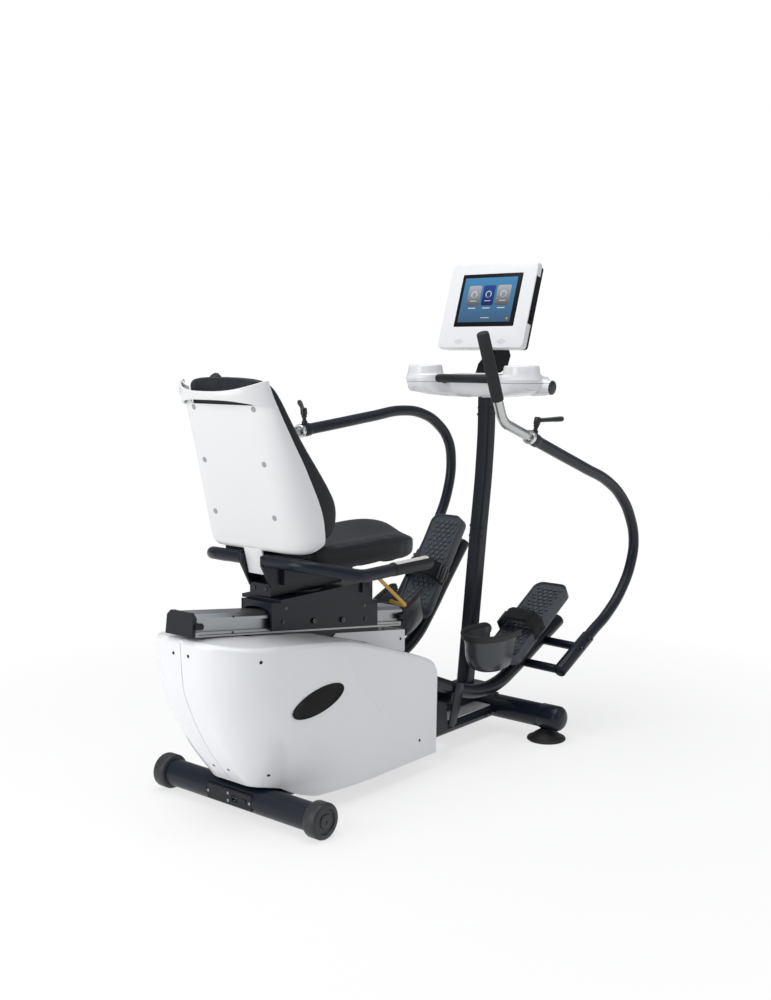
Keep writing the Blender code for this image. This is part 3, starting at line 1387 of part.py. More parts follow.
LEVER_ROUTE = (
    (0.660, 0.275), (0.714, 0.252), (0.818, 0.212), (0.926, 0.186), (1.039, 0.188), (1.131, 0.218),
    (1.275, 0.280), (1.427, 0.343),
)
SLEEVE_ROUTE = ((1.182, 0.227), (1.369, 0.315))
ARM_ROUTE = (
    (1.408, 0.3334), (1.491, 0.3700), (1.604, 0.451), (1.672, 0.548), (1.686, 0.625), (1.654, 0.712),
    (1.588, 0.790), (1.486, 0.856), (1.326, 0.9160), (1.175, 0.9700), (0.981, 1.0400),
)
CROSS_TUBES = ((1.310, 0.299), (1.190, 0.242))
HANDLE_CORNER = (0.823, 1.097)
HANDLE_TOP = (0.711, 1.370)
GRIP_START = (0.795, 1.165)
HEEL_RINGS = (
    # (z, middle x, half length, half width, fall of the rim)
    (0.243, 1.000, 0.034, 0.030, 0.00),
    (0.254, 0.992, 0.068, 0.047, 0.00),
    (0.280, 0.982, 0.087, 0.058, 0.05),
    (0.325, 0.970, 0.094, 0.064, 0.18),
    (0.366, 0.960, 0.092, 0.064, 0.30),
    (0.372, 0.960, 0.098, 0.069, 0.34),
    (0.384, 0.958, 0.098, 0.069, 0.34),
)


def foot_frame(side):
    """The foot plate's own frame: X climbs the plate from its heel, Z stands on its top face."""
    place = Matrix.Translation((FOOT_HEEL[0], side * LEVER_Y, FOOT_HEEL[1]))
    return place @ Matrix.Rotation(-FOOT_RISE, 4, "Y")


def foot_lever(side):
    route = [(x, side * LEVER_Y, z) for x, z in LEVER_ROUTE]
    pieces = [tube("lever", route, LEVER_RADIUS, resolution=2, rings=2)]
    boss_start = side * (PIVOT_BRACKET_Y[1] + GAP)
    boss_end = side * (LEVER_Y + LEVER_RADIUS)
    pieces.append(rod("boss", (PIVOT_X, boss_start, PIVOT_Z), (PIVOT_X, boss_end, PIVOT_Z), BOSS_RADIUS, 16))
    start, end = (Vector((x, side * ARM_Y, z)) for x, z in SLEEVE_ROUTE)
    pieces.append(rod("sleeve", start, end, SLEEVE_RADIUS, 16))
    for x, z in CROSS_TUBES:
        along = (x - start.x) / (end.x - start.x)
        outer = (x, side * (ARM_Y - SLEEVE_RADIUS / 2), start.z + (end.z - start.z) * along)
        pieces.append(rod("cross", (x, side * LEVER_Y, z - 0.008), outer, CROSS_TUBE_RADIUS, 12))
    under = -FOOT_THICKNESS - GAP
    slide = box("slide", (0.070, -0.036, under - 0.026), (0.330, 0.036, under), bevel=0.006, segments=1)
    web = box("web", (0.110, -0.012, under - 0.085), (0.310, 0.012, under - 0.010))
    for piece in (slide, web):
        pieces.append(moved(piece, foot_frame(side)))
    lever = union(*pieces)
    bore_start = (PIVOT_X, side * (BASE_Y - REACH), PIVOT_Z)
    bore_end = (PIVOT_X, side * (PIVOT_SHAFT_END + REACH), PIVOT_Z)
    pivot_hole = bore(bore_start, bore_end, PIVOT_SHAFT_RADIUS)
    inward = (end - start).normalized() * SLEEVE_DEPTH
    socket = bore(end - inward, end + inward, ARM_RADIUS, 20)
    return cut(lever, pivot_hole, socket)


def foot_plate(side):
    corner = 0.034
    square = [(0, -FOOT_HALF), (FOOT_LENGTH, -FOOT_HALF), (FOOT_LENGTH, FOOT_HALF), (0, FOOT_HALF)]
    toes = filleted([(*point, 0) for point in square], corner, steps=4, closed=True)
    outline = [(max(point.x, 0.0), point.y) for point in toes]
    slab = plate("slab", outline, -FOOT_THICKNESS, 0, "XY")
    tread = [(-REACH, -1), (FOOT_LENGTH - FOOT_RIM, -1), (FOOT_LENGTH - FOOT_RIM, 1), (-REACH, 1)]
    tread = [(x, y * (FOOT_HALF - FOOT_RIM), 0) for x, y in tread]
    inner = [(point.x, point.y) for point in filleted(tread, corner - FOOT_RIM, steps=4, closed=True)]
    hollow = plate("tread", inner, -FOOT_TRAY_DEPTH, REACH, "XY")
    return moved(cut(slab, hollow), foot_frame(side))


def heel_cup(side):
    points = 14

    def bowl(inset, rise):
        rings = []
        for z, middle, length, width, fall in HEEL_RINGS:
            ring_points = []
            for i in range(points):
                angle = 2 * math.pi * i / points
                x = middle + (length - inset) * math.cos(angle)
                y = side * LEVER_Y + (width - inset) * math.sin(angle)
                ring_points.append((x, y, z + rise - fall * (x - middle)))
            rings.append(ring_points)
        return rings

    outer = loft("cup", bowl(0, 0))
    inner_rings = bowl(HEEL_WALL, HEEL_WALL)
    inner_rings.append([(x, y, z + REACH) for x, y, z in inner_rings[-1]])
    inner = loft("hollow", inner_rings)
    clear = 0.2
    room_low = (-GAP, -clear, -FOOT_THICKNESS - clear)
    room = moved(box("room", room_low, (clear, clear, GAP)), foot_frame(side))
    return cut(outer, inner, room)


def foot_strap(side):
    half = FOOT_HALF + GAP
    path = [
        (-half, -0.030), (-half, 0.016),
        (-half * 0.62, STRAP_RISE - 0.010), (half * 0.62, STRAP_RISE - 0.010),
        (half, 0.016), (half, -0.030),
    ]
    inner = filleted([(*point, 0) for point in path], 0.030, steps=4)
    grow = 1 + STRAP_THICKNESS / half
    outer = [(point.x * grow, point.y + STRAP_THICKNESS * max(0.0, point.y) / STRAP_RISE) for point in inner]
    outline = [(point.x, point.y) for point in inner] + outer[::-1]
    return moved(plate("strap", outline, STRAP_AT, STRAP_AT + STRAP_WIDTH, "YZ"), foot_frame(side))


def arm_axis(side):
    """Unit vectors along the arm's end and square to it, upwards."""
    (x, z), (end_x, end_z) = ARM_ROUTE[-2:]
    along = Vector((end_x - x, 0, end_z - z)).normalized()
    return along, Vector((along.z, 0, -along.x))


def arm_tube(side):
    y = side * ARM_Y
    low, high = (Vector((x, y, z)) for x, z in SLEEVE_ROUTE)
    start = high - (high - low).normalized() * (SLEEVE_DEPTH - GAP)
    route = [start, (start + high) / 2, high] + [Vector((x, y, z)) for x, z in ARM_ROUTE]
    arm = tube("arm", route, ARM_RADIUS, resolution=2, rings=2)
    end = route[-1]
    along, up = arm_axis(side)
    collar = rod("collar", end - along * 0.040, end, ARM_RADIUS + 0.003, 16)
    middle = end - along * 0.020
    boss = rod("boss", middle + up * 0.010, middle + up * 0.030, 0.010, 12)
    handle_hole = bore(end - along * HANDLE_BORE_DEPTH, end + along * REACH, HANDLE_RADIUS)
    return cut(union(arm, collar, boss), handle_hole)


def handle(side):
    y = side * ARM_Y
    end = Vector((ARM_ROUTE[-1][0], y, ARM_ROUTE[-1][1]))
    along, _ = arm_axis(side)
    corner = end + along * (end.x - HANDLE_CORNER[0]) / abs(along.x)
    top = Vector((HANDLE_TOP[0], y, HANDLE_TOP[1]))
    route = filleted([end - along * HANDLE_SHANK, corner, top], 0.065, steps=5)
    bar = tube("bar", route, HANDLE_RADIUS)

    climb = (top - corner).normalized()
    low = top - climb * (HANDLE_TOP[1] - GRIP_START[1]) / climb.z
    grip = rod("grip", low, top + climb * (GAP + 0.003), HANDLE_GRIP_RADIUS, 14)
    grip_hole = bore(low - climb * REACH, top + climb * GAP, HANDLE_RADIUS)
    return bar, cut(grip, grip_hole)


def clamp_lever(side):
    end = Vector((ARM_ROUTE[-1][0], side * ARM_Y, ARM_ROUTE[-1][1]))
    along, up = arm_axis(side)
    foot = end - along * 0.020 + up * (0.030 + GAP)
    top = foot + up * 0.034
    tip = top + Vector((0.64, side * 0.77, 0.06)) * CLAMP_LEVER_LENGTH
    stud = rod("stud", foot, top, CLAMP_STUD_RADIUS, 12)
    hub = rod("hub", top - up * 0.014, top + up * 0.010, 0.011, 12)
    grip = rod("grip", top, tip, 0.0065, 12)
    return union(stud, hub, grip), foot


def levers():
    for word, side in SIDES.items():
        body = joint(f"lever_pivot_{word}", (PIVOT_X, side * LEVER_Y, PIVOT_Z), ROOT)
        node(f"foot_lever_{word}", foot_lever(side), DARK_PAINT, body)
        node(f"foot_plate_{word}", foot_plate(side), BLACK_PLASTIC, body)
        node(f"heel_cup_{word}", heel_cup(side), GREY_PLASTIC, body)
        node(f"foot_strap_{word}", foot_strap(side), STRAP, body)
        node(f"arm_tube_{word}", arm_tube(side), DARK_PAINT, body)
        bar, grip = handle(side)
        arm_end = (ARM_ROUTE[-1][0], side * ARM_Y, ARM_ROUTE[-1][1])
        handle_body = joint(f"handle_slide_{word}", arm_end, body)
        node(f"handle_tube_{word}", bar, SILVER, handle_body)
        node(f"handle_grip_{word}", grip, FOAM, handle_body)
        clamp, foot = clamp_lever(side)
        node(f"clamp_lever_{word}", clamp, BLACK_PLASTIC, joint(f"clamp_stud_{word}", foot, body))
        if word == "left":
            body.rotation_euler = (0, LEFT_LEVER_TURN, 0)


# The whole machine

base_frame()
step_plate()
rear_stabiliser()
front_stabiliser()
foot_pads()
transport_wheels()
power_panel()
seat_rail()
rail_supports()
lever_rocker()
drive()
for half_name, half_side in SIDES.items():
    shroud_half(half_name, half_side)
rail_fairing()
post()
tray()
tray_grip_bar()
console()
CARRIAGE = carriage()
swivel_base(CARRIAGE)
SWIVEL = joint("seat_swivel_pin", (SEAT_AXIS_X, 0, SWIVEL_TOP_Z), CARRIAGE)
seat_frame(SWIVEL)
seat_cushion(SWIVEL)
back_shell(SWIVEL)
back_cushion(SWIVEL)
armrests(SWIVEL)
levers()


def centre_over_origin():
    """Moves the root so that the origin is under the middle of the machine's bounding box."""
    bpy.context.view_layer.update()
    corners = [
        made.matrix_world @ vertex.co
        for made in PARTS.objects
        if made.type == "MESH"
        for vertex in made.data.vertices
    ]
    for axis in (0, 1):
        low = min(corner[axis] for corner in corners)
        high = max(corner[axis] for corner in corners)
        ROOT.location[axis] = -(low + high) / 2
    ROOT.location.z = -min(corner.z for corner in corners)
    bpy.context.view_layer.update()


centre_over_origin()
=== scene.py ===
# %% [markdown]
# # A recumbent exercise machine, dressed for its photograph
#
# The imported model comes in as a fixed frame. Its solids are right in size and place, but they are
# plain: few flat sides, one colour each. Here each visible piece gets the surface of the real one.
# Pieces are drawn from the middle of the rear stabiliser, as a fitter would measure the machine,
# and are then moved forward or back into the frame's own origin.

import math

import bpy
import bmesh
from mathutils import Matrix, Vector


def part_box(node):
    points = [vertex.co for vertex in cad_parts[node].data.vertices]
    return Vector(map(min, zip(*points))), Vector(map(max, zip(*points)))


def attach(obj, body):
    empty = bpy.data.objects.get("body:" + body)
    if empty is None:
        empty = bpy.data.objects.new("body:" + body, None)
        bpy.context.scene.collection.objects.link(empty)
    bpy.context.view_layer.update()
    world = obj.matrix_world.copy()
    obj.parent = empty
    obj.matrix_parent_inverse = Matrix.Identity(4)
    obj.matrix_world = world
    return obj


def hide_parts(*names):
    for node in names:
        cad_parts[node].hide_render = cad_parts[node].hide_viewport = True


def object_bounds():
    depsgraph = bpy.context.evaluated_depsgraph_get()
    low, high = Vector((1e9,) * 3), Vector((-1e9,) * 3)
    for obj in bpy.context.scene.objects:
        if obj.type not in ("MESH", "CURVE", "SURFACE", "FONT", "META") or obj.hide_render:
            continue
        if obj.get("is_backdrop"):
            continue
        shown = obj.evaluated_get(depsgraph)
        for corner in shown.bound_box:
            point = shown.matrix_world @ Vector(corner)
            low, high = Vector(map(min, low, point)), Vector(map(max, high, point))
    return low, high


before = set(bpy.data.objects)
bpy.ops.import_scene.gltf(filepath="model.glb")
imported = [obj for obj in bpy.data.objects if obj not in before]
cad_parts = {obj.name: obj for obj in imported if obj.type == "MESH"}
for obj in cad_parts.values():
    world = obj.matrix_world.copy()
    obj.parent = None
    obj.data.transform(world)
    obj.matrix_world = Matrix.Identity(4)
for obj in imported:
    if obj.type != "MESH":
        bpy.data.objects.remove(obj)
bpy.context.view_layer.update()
rear_low, rear_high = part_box("rear_stabiliser")
X0 = (rear_low[0] + rear_high[0]) / 2
SIDES = {"left": 1, "right": -1}
print(len(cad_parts), "nodes in the frame; the rear stabiliser stands at x =", round(X0, 4))

# %% [markdown]
# ## Camera
#
# The photograph was taken from behind the machine's right side, a little above the seat's back.
# The place, the turn and the lens come from fitting a pinhole camera to edges whose real
# lengths are known, so the render and the photograph can be compared point by point.

# %% Make the camera
def add_object(name, data):
    """A new object in the scene, with this mesh, curve, lamp or camera."""
    made = bpy.data.objects.new(name, data)
    bpy.context.scene.collection.objects.link(made)
    return made


SENSOR_WIDTH, FOCAL_LENGTH = 36.0, 1.22333
CAMERA_PLACE = (-2.339 + X0, -2.495, 1.32)
CAMERA_HEADING, CAMERA_DIP = (0.7675, 0.641), math.radians(6.99)
camera_data = bpy.data.cameras.new("photo_camera")
camera_data.sensor_width = SENSOR_WIDTH
camera_data.lens = SENSOR_WIDTH * FOCAL_LENGTH
camera_data.clip_end = 60.0
camera = add_object("photo_camera", camera_data)
camera.location = CAMERA_PLACE
level = math.cos(CAMERA_DIP)
look = Vector((CAMERA_HEADING[0] * level, CAMERA_HEADING[1] * level, -math.sin(CAMERA_DIP)))
camera.rotation_mode = "QUATERNION"
camera.rotation_quaternion = look.to_track_quat("-Z", "Y")
bpy.context.scene.camera = camera
print("camera at", [round(value, 3) for value in camera.location])

# %% [markdown]
# ## Shader maths
#
# A material is a small network of nodes. Written as sums it is easier to read, so one class
# stands for a socket and turns plus, minus and times into Math nodes. Another class stands for
# a finish: it adds any other node, and it holds the Principled shader that each finish has.

# %% A socket that does arithmetic
class Value:
    """A number in a finish's node tree. Arithmetic on it adds Math nodes."""

    def __init__(self, finish, socket):
        self.finish = finish
        self.socket = socket

    def maths(self, operation, *others):
        node = self.finish.tree.nodes.new("ShaderNodeMath")
        node.operation = operation
        for socket, other in zip(node.inputs, (self, *others)):
            self.finish.feed(socket, other)
        return Value(self.finish, node.outputs[0])

    def __add__(self, other):
        return self.maths("ADD", other)

    def __mul__(self, other):
        return self.maths("MULTIPLY", other)

    def __sub__(self, other):
        return self.maths("SUBTRACT", other)

    def __truediv__(self, other):
        return self.maths("DIVIDE", other)

    def clamped(self):
        return self.maths("MAXIMUM", 0.0).maths("MINIMUM", 1.0)

    def above(self, edge, soft):
        """1 where the value is over the edge, with a soft step."""
        return ((self - (edge - soft / 2)) / soft).clamped()


print("sums of sockets are ready")

# %% A finish and its nodes
class Finish:
    """One material: a Principled shader, and what varies over its surface."""

    def __init__(self, name, colour, roughness, metallic=0.0, **constants):
        self.material = bpy.data.materials.new(name)
        self.material.use_nodes = True
        self.material.diffuse_color = (*colour, 1.0)
        self.tree = self.material.node_tree
        self.shader = self.tree.nodes["Principled BSDF"]
        self.shader.inputs["Base Color"].default_value = (*colour, 1.0)
        self.shader.inputs["Roughness"].default_value = roughness
        self.shader.inputs["Metallic"].default_value = metallic
        for socket, value in constants.items():
            self.shader.inputs[socket.replace("_", " ")].default_value = value

    def feed(self, socket, value):
        if isinstance(value, Value):
            self.tree.links.new(value.socket, socket)
        else:
            socket.default_value = value

    def add(self, kind, settings=None, output=0, **links):
        """A node of that kind. Its settings come first, then its sockets are linked or filled."""
        node = self.tree.nodes.new(kind)
        for setting, value in (settings or {}).items():
            setattr(node, setting, value)
        for socket, value in links.items():
            self.feed(node.inputs[socket.replace("_", " ")], value)
        return Value(self, node.outputs[output])

    def place(self, stretch=(1.0, 1.0, 1.0), turn=(0.0, 0.0, 0.0)):
        """Object coordinates, stretched so that a pattern can run along one way."""
        coordinates = self.add("ShaderNodeTexCoord", output="Object")
        return self.add("ShaderNodeMapping", Vector=coordinates, Scale=stretch, Rotation=turn)

    def noise(self, scale, detail=2.0, stretch=(1.0, 1.0, 1.0), rough=0.5):
        """Cloudy noise about one half."""
        where = self.place(stretch)
        return self.add("ShaderNodeTexNoise", Vector=where, Scale=scale, Detail=detail, Roughness=rough)

    def bump(self, height, depth):
        """Raises the surface by up to depth metres where height is 1."""
        made = self.add("ShaderNodeBump", Height=height, Distance=depth, Strength=1.0)
        self.feed(self.shader.inputs["Normal"], made)

    def blend(self, colour_from, colour_to, by):
        """A colour that goes from one shade to another with a value."""
        mixed = self.add("ShaderNodeMix", {"data_type": "RGBA"}, output=2)
        inputs = mixed.socket.node.inputs
        self.feed(inputs[0], by)
        inputs[6].default_value = (*colour_from, 1.0)
        inputs[7].default_value = (*colour_to, 1.0)
        return mixed

    def vary(self, colour_from, colour_to, by):
        self.feed(self.shader.inputs["Base Color"], self.blend(colour_from, colour_to, by))

    def rough(self, value):
        self.feed(self.shader.inputs["Roughness"], value)


print("the shader helpers are ready")

# %% [markdown]
# ## Finishes
#
# The machine has few finishes: glossy white mouldings, satin dark paint on steel tube, black
# textured plastic, rubber, brushed metal, a coated cloth on the cushions. None is one flat tone.
# Each gets the fine grain that light picks out on the real surface, and a slow change of shade.

# %% White mouldings
def shades(colour, low, high):
    """A darker and a lighter shade of a colour."""
    return [value * low for value in colour], [value * high for value in colour]


def white_moulding(name, colour, roughness):
    finish = Finish(name, colour, roughness, Coat_Weight=0.25, Coat_Roughness=0.06)
    cloud = finish.noise(3.5, 3.0)
    finish.vary([value * 0.985 for value in colour], colour, cloud)
    finish.rough(finish.noise(90.0, 3.0) * 0.1 + (roughness - 0.05))
    finish.bump(finish.noise(420.0, 2.0), 0.00006)
    return finish.material


WHITE_GLOSS = white_moulding("white_gloss_moulding", (0.84, 0.85, 0.86), 0.2)
WHITE_SATIN = white_moulding("white_satin_moulding", (0.8, 0.805, 0.81), 0.38)
print("finishes:", WHITE_GLOSS.name, WHITE_SATIN.name)

# %% Dark paint and black plastic
def painted_steel(name, colour, roughness, grain=900.0):
    finish = Finish(name, colour, roughness, Coat_Weight=0.08, Coat_Roughness=0.2, Specular_IOR_Level=0.28)
    cloud = finish.noise(7.0, 3.0)
    finish.vary(*shades(colour, 0.88, 1.1), cloud)
    finish.rough(finish.noise(60.0, 4.0) * 0.06 + (roughness - 0.03))
    finish.bump(finish.noise(grain, 2.0), 0.00003)
    return finish.material


def textured_plastic(name, colour, roughness, cell=1400.0, depth=0.00016, specular=0.5):
    finish = Finish(name, colour, roughness, Specular_IOR_Level=specular)
    cells = finish.add("ShaderNodeTexVoronoi", {"feature": "SMOOTH_F1"}, Vector=finish.place(), Scale=cell)
    finish.vary(*shades(colour, 0.9, 1.1), finish.noise(12.0, 3.0))
    finish.rough(finish.noise(45.0, 3.0) * 0.08 + (roughness - 0.04))
    finish.bump(cells, depth)
    return finish.material


DARK_PAINT = painted_steel("dark_satin_paint", (0.0068, 0.0105, 0.0185), 0.36)
YELLOW = painted_steel("yellow_paint", (0.62, 0.36, 0.06), 0.34)
SMOOTH, FINE = 0.00004, 0.00001
BLACK_PLASTIC = textured_plastic("black_textured_plastic", (0.0075, 0.0095, 0.0135), 0.46, specular=0.34)
BLACK_SMOOTH = textured_plastic("black_smooth_plastic", (0.012, 0.014, 0.017), 0.3, depth=SMOOTH)
DEEP_BLACK = textured_plastic(
    "deep_black_plastic", (0.0022, 0.0026, 0.0035), 0.46, depth=SMOOTH, specular=0.16,
)
GREY_PLASTIC = textured_plastic("grey_gloss_plastic", (0.048, 0.055, 0.063), 0.3, depth=FINE)
PLUG_GREY = textured_plastic("grey_plug_plastic", (0.33, 0.34, 0.36), 0.4, depth=SMOOTH)
TREAD_PLASTIC = textured_plastic("grey_black_tread", (0.044, 0.054, 0.067), 0.38, depth=0.00006)
WHEEL_RUBBER = textured_plastic("wheel_rubber", (0.022, 0.024, 0.027), 0.45, cell=900.0, depth=0.00008)
RUBBER = textured_plastic("black_rubber", (0.014, 0.014, 0.015), 0.62, cell=700.0, depth=0.00025)
FOAM = textured_plastic("black_foam", (0.02, 0.022, 0.025), 0.82, cell=520.0, depth=0.0006)
PALE_STRIP = textured_plastic("pale_steel_strip", (0.6, 0.585, 0.55), 0.42, depth=FINE)
RED = textured_plastic("red_plastic", (0.55, 0.03, 0.025), 0.35, depth=0.00003)
print(len(bpy.data.materials), "materials with paints and plastics")

# %% Bare metals
def brushed_metal(name, colour, roughness, along, scratch=0.00005, spread=0.2):
    finish = Finish(name, colour, roughness, metallic=1.0)
    lines = finish.noise(260.0, 4.0, stretch=along, rough=0.6)
    finish.vary([value * 0.9 for value in colour], colour, lines)
    finish.rough(lines * spread + (roughness - spread / 2))
    finish.bump(lines, scratch)
    return finish.material


PLAIN = (1.0, 1.0, 1.0)
ALUMINIUM = brushed_metal("extruded_aluminium", (0.4, 0.415, 0.425), 0.38, (0.03, 1.0, 1.0))
STEP_STEEL = brushed_metal("step_plate_steel", (0.78, 0.79, 0.8), 0.48, (1.0, 0.03, 1.0))
SILVER = brushed_metal("silver_tube", (0.56, 0.57, 0.57), 0.3, PLAIN, 0.000003, 0.05)
CHROME = brushed_metal("chrome", (0.68, 0.69, 0.7), 0.18, PLAIN, 0.000002, 0.04)
STEEL = brushed_metal("machined_steel", (0.46, 0.46, 0.47), 0.3, PLAIN)
DARK_STEEL = brushed_metal("blacked_steel", (0.1, 0.1, 0.11), 0.34, PLAIN)
print(len(bpy.data.materials), "materials with metals")

# %% Coated cloth and webbing
def coated_cloth(name, colour):
    """A soft vinyl: fine pebbled grain, a faint sheen, and painted light and shade over its folds."""
    finish = Finish(name, colour, 0.5, Sheen_Weight=0.05, Sheen_Roughness=0.45, Specular_IOR_Level=0.28)
    cell = {"feature": "SMOOTH_F1"}
    pebbles = finish.add("ShaderNodeTexVoronoi", cell, Vector=finish.place(), Scale=620.0)
    folds_and_painted_shade = finish.noise(16.0, 5.0)
    # Painted light and shade: lighter on the crowns of the folds and darker in their hollows, as the bump
    # below raises and lowers them.
    finish.vary(*shades(colour, 0.75, 1.3), folds_and_painted_shade)
    finish.rough(pebbles * 0.18 + folds_and_painted_shade * 0.12 + 0.36)
    finish.bump(pebbles + folds_and_painted_shade * 1.5, 0.00035)
    return finish.material


def webbing(name, colour):
    finish = Finish(name, colour, 0.8, Sheen_Weight=0.08, Specular_IOR_Level=0.3)
    across = finish.add("ShaderNodeTexWave", {"bands_direction": "Y"}, Vector=finish.place(), Scale=300.0)
    along = finish.add("ShaderNodeTexWave", {"bands_direction": "X"}, Vector=finish.place(), Scale=300.0)
    weave = across * along
    finish.vary(*shades(colour, 0.6, 1.5), weave)
    finish.rough(weave * -0.1 + 0.88)
    finish.bump(weave, 0.0004)
    return finish.material


CLOTH = coated_cloth("coated_cloth", (0.0075, 0.0092, 0.013))
WEBBING = webbing("strap_webbing", (0.006, 0.007, 0.01))
print(len(bpy.data.materials), "materials so far")

# %% [markdown]
# ## Nodes that stay
#
# Some of the frame's solids already have the real shape: plates, plain boxes, and pieces
# deep inside. They only need a finish, which goes into the material slot that they have.

# %% Give the staying nodes their finishes
BOTH_SIDES = {
    "foot_lever": DARK_PAINT, "arm_tube": DARK_PAINT, "armrest": DARK_PAINT, "foot_plate": BLACK_PLASTIC,
    "clamp_lever": BLACK_PLASTIC, "armrest_grip": BLACK_PLASTIC, "foot_pad": RUBBER,
    "transport_wheel": RUBBER, "heel_cup": GREY_PLASTIC, "foot_strap": WEBBING, "handle_tube": SILVER,
    "handle_grip": FOAM, "shroud": WHITE_GLOSS,
}


def paint_node(finish, *names):
    for name in names:
        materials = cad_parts[name].data.materials
        materials.clear()
        materials.append(finish)


for word in SIDES:
    for name, finish in BOTH_SIDES.items():
        paint_node(finish, f"{name}_{word}")
paint_node(DARK_PAINT, "base_frame", "rail_supports", "lever_rocker", "post_lower", "post_upper")
paint_node(DARK_PAINT, "swivel_base", "carriage", "seat_frame", "rear_stabiliser", "front_stabiliser")
paint_node(BLACK_PLASTIC, "power_panel", "power_switch", "power_inlet", "monitor_back", "monitor_screen")
paint_node(BLACK_PLASTIC, "rail_end_cap_front", "rail_end_cap_rear", "tray_grip_bar")
paint_node(DEEP_BLACK, "monitor_bracket")
paint_node(RUBBER, "drive_belt")
paint_node(STEEL, "drive_pulley", "brake_disc")
paint_node(DARK_STEEL, "carriage_wheelset_front", "carriage_wheelset_rear")
paint_node(ALUMINIUM, "seat_rail")
paint_node(STEP_STEEL, "step_plate")
paint_node(YELLOW, "seat_release_lever")
paint_node(WHITE_GLOSS, "rail_fairing", "tray_lower", "tray_upper", "monitor_bezel")
paint_node(WHITE_SATIN, "back_shell")
paint_node(CLOTH, "seat_cushion", "back_cushion")
print("finishes on", sum(1 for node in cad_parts.values() if node.data.materials), "nodes")

# %% [markdown]
# ## Modelling helpers
#
# The same few steps make most pieces: add a primitive, pick some faces, shape them, round the
# edges, smooth the shading, and hang the piece on the body that carries it. Each helper is one of
# those steps. A tube is drawn as a curve through its bends and then made a mesh.

# %% Pick, apply and hang
def only(*pieces):
    """Selects these objects alone, with the first one active."""
    bpy.ops.object.select_all(action="DESELECT")
    for piece in pieces:
        piece.select_set(True)
    bpy.context.view_layer.objects.active = pieces[0]
    return pieces[0]


def pick(piece, kind, wanted=lambda each: True):
    """Opens edit mode with only the faces, edges or points that pass the test selected."""
    only(piece)
    bpy.ops.object.mode_set(mode="EDIT")
    bpy.ops.mesh.select_mode(type={"faces": "FACE", "edges": "EDGE", "verts": "VERT"}[kind])
    shape = bmesh.from_edit_mesh(piece.data)
    for layer in (shape.verts, shape.edges, shape.faces):
        for each in layer:
            each.select = False
    found = [each for each in getattr(shape, kind) if wanted(each)]
    for each in found:
        each.select = True
    shape.select_flush_mode()
    bmesh.update_edit_mesh(piece.data)


def done():
    bpy.ops.object.mode_set(mode="OBJECT")


def middle(element):
    """The middle of an edge or a face."""
    return sum((vertex.co for vertex in element.verts), Vector()) / len(element.verts)


def apply_modifier(piece, kind, **settings):
    modifier = piece.modifiers.new(kind.title(), kind)
    for setting, value in settings.items():
        setattr(modifier, setting, value)
    only(piece)
    bpy.ops.object.modifier_apply(modifier=modifier.name)
    return piece


def soften(piece, width, segments=2, angle=30):
    """Rounds every edge sharper than the angle."""
    return apply_modifier(
        piece, "BEVEL", width=width, segments=segments, limit_method="ANGLE",
        angle_limit=math.radians(angle), harden_normals=False,
    )


def join(name, *pieces):
    only(*pieces)
    if len(pieces) > 1:
        bpy.ops.object.join()
    joined = bpy.context.view_layer.objects.active
    joined.name = joined.data.name = name
    return joined


def drop(*pieces):
    for piece in pieces:
        bpy.data.objects.remove(piece)


def cut(piece, tool, operation="DIFFERENCE"):
    """Takes the tool out of the piece, or joins it on, and removes the tool."""
    apply_modifier(piece, "BOOLEAN", operation=operation, object=tool, solver="EXACT")
    drop(tool)


def move(piece, matrix):
    """Moves a piece and takes the move into its points."""
    piece.matrix_world = matrix @ piece.matrix_world
    only(piece)
    bpy.ops.object.transform_apply(location=True, rotation=True, scale=True)
    return piece


def settle(piece, body, slot, finish, *nodes, sharp=38):
    """The last step of each piece: into the frame's origin, smooth, finished, and on its body."""
    move(piece, Matrix.Translation((X0, 0, 0)))
    if sharp:
        bpy.ops.object.shade_smooth_by_angle(angle=math.radians(sharp))
    piece.data.materials.clear()
    piece.data.materials.append(finish)
    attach(piece, body)
    if nodes:
        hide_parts(*nodes)
    return piece


print("pieces can be picked, cut, moved and settled")

# %% Slabs, rods, tubes and lofts
def turned_to(way):
    """The turn that points a piece's Z that way."""
    return Vector(way).to_track_quat("Z", "Y").to_matrix().to_4x4()


def from_shape(name, shape):
    """An object of what was drawn point by point."""
    mesh = bpy.data.meshes.new(name)
    shape.to_mesh(mesh)
    shape.free()
    return add_object(name, mesh)


def face_outward(piece):
    pick(piece, "faces")
    bpy.ops.mesh.normals_make_consistent(inside=False)
    done()


def block(name, low, high, bevel=0.0, segments=3):
    """A cube added between two corners, with its edges rounded."""
    low, high = Vector(low), Vector(high)
    bpy.ops.mesh.primitive_cube_add(size=1.0, location=(low + high) / 2, scale=high - low)
    made = bpy.context.object
    made.name = name
    bpy.ops.object.transform_apply(location=True, rotation=True, scale=True)
    if bevel:
        pick(made, "edges")
        bpy.ops.mesh.bevel(offset=bevel, segments=segments, affect="EDGES")
        done()
    return made


def bar(name, start, end, radius, sides=24, bevel=0.0, segments=2):
    """A round bar between two points, with its end edges rounded."""
    start, end = Vector(start), Vector(end)
    along = end - start
    bpy.ops.mesh.primitive_cylinder_add(vertices=sides, radius=radius, depth=along.length)
    made = bpy.context.object
    made.name = name
    if bevel:
        pick(made, "edges", lambda edge: abs(edge.verts[0].co.z - edge.verts[1].co.z) < 1e-6)
        bpy.ops.mesh.bevel(offset=bevel, segments=segments, affect="EDGES")
        done()
    return move(made, Matrix.Translation((start + end) / 2) @ turned_to(along))


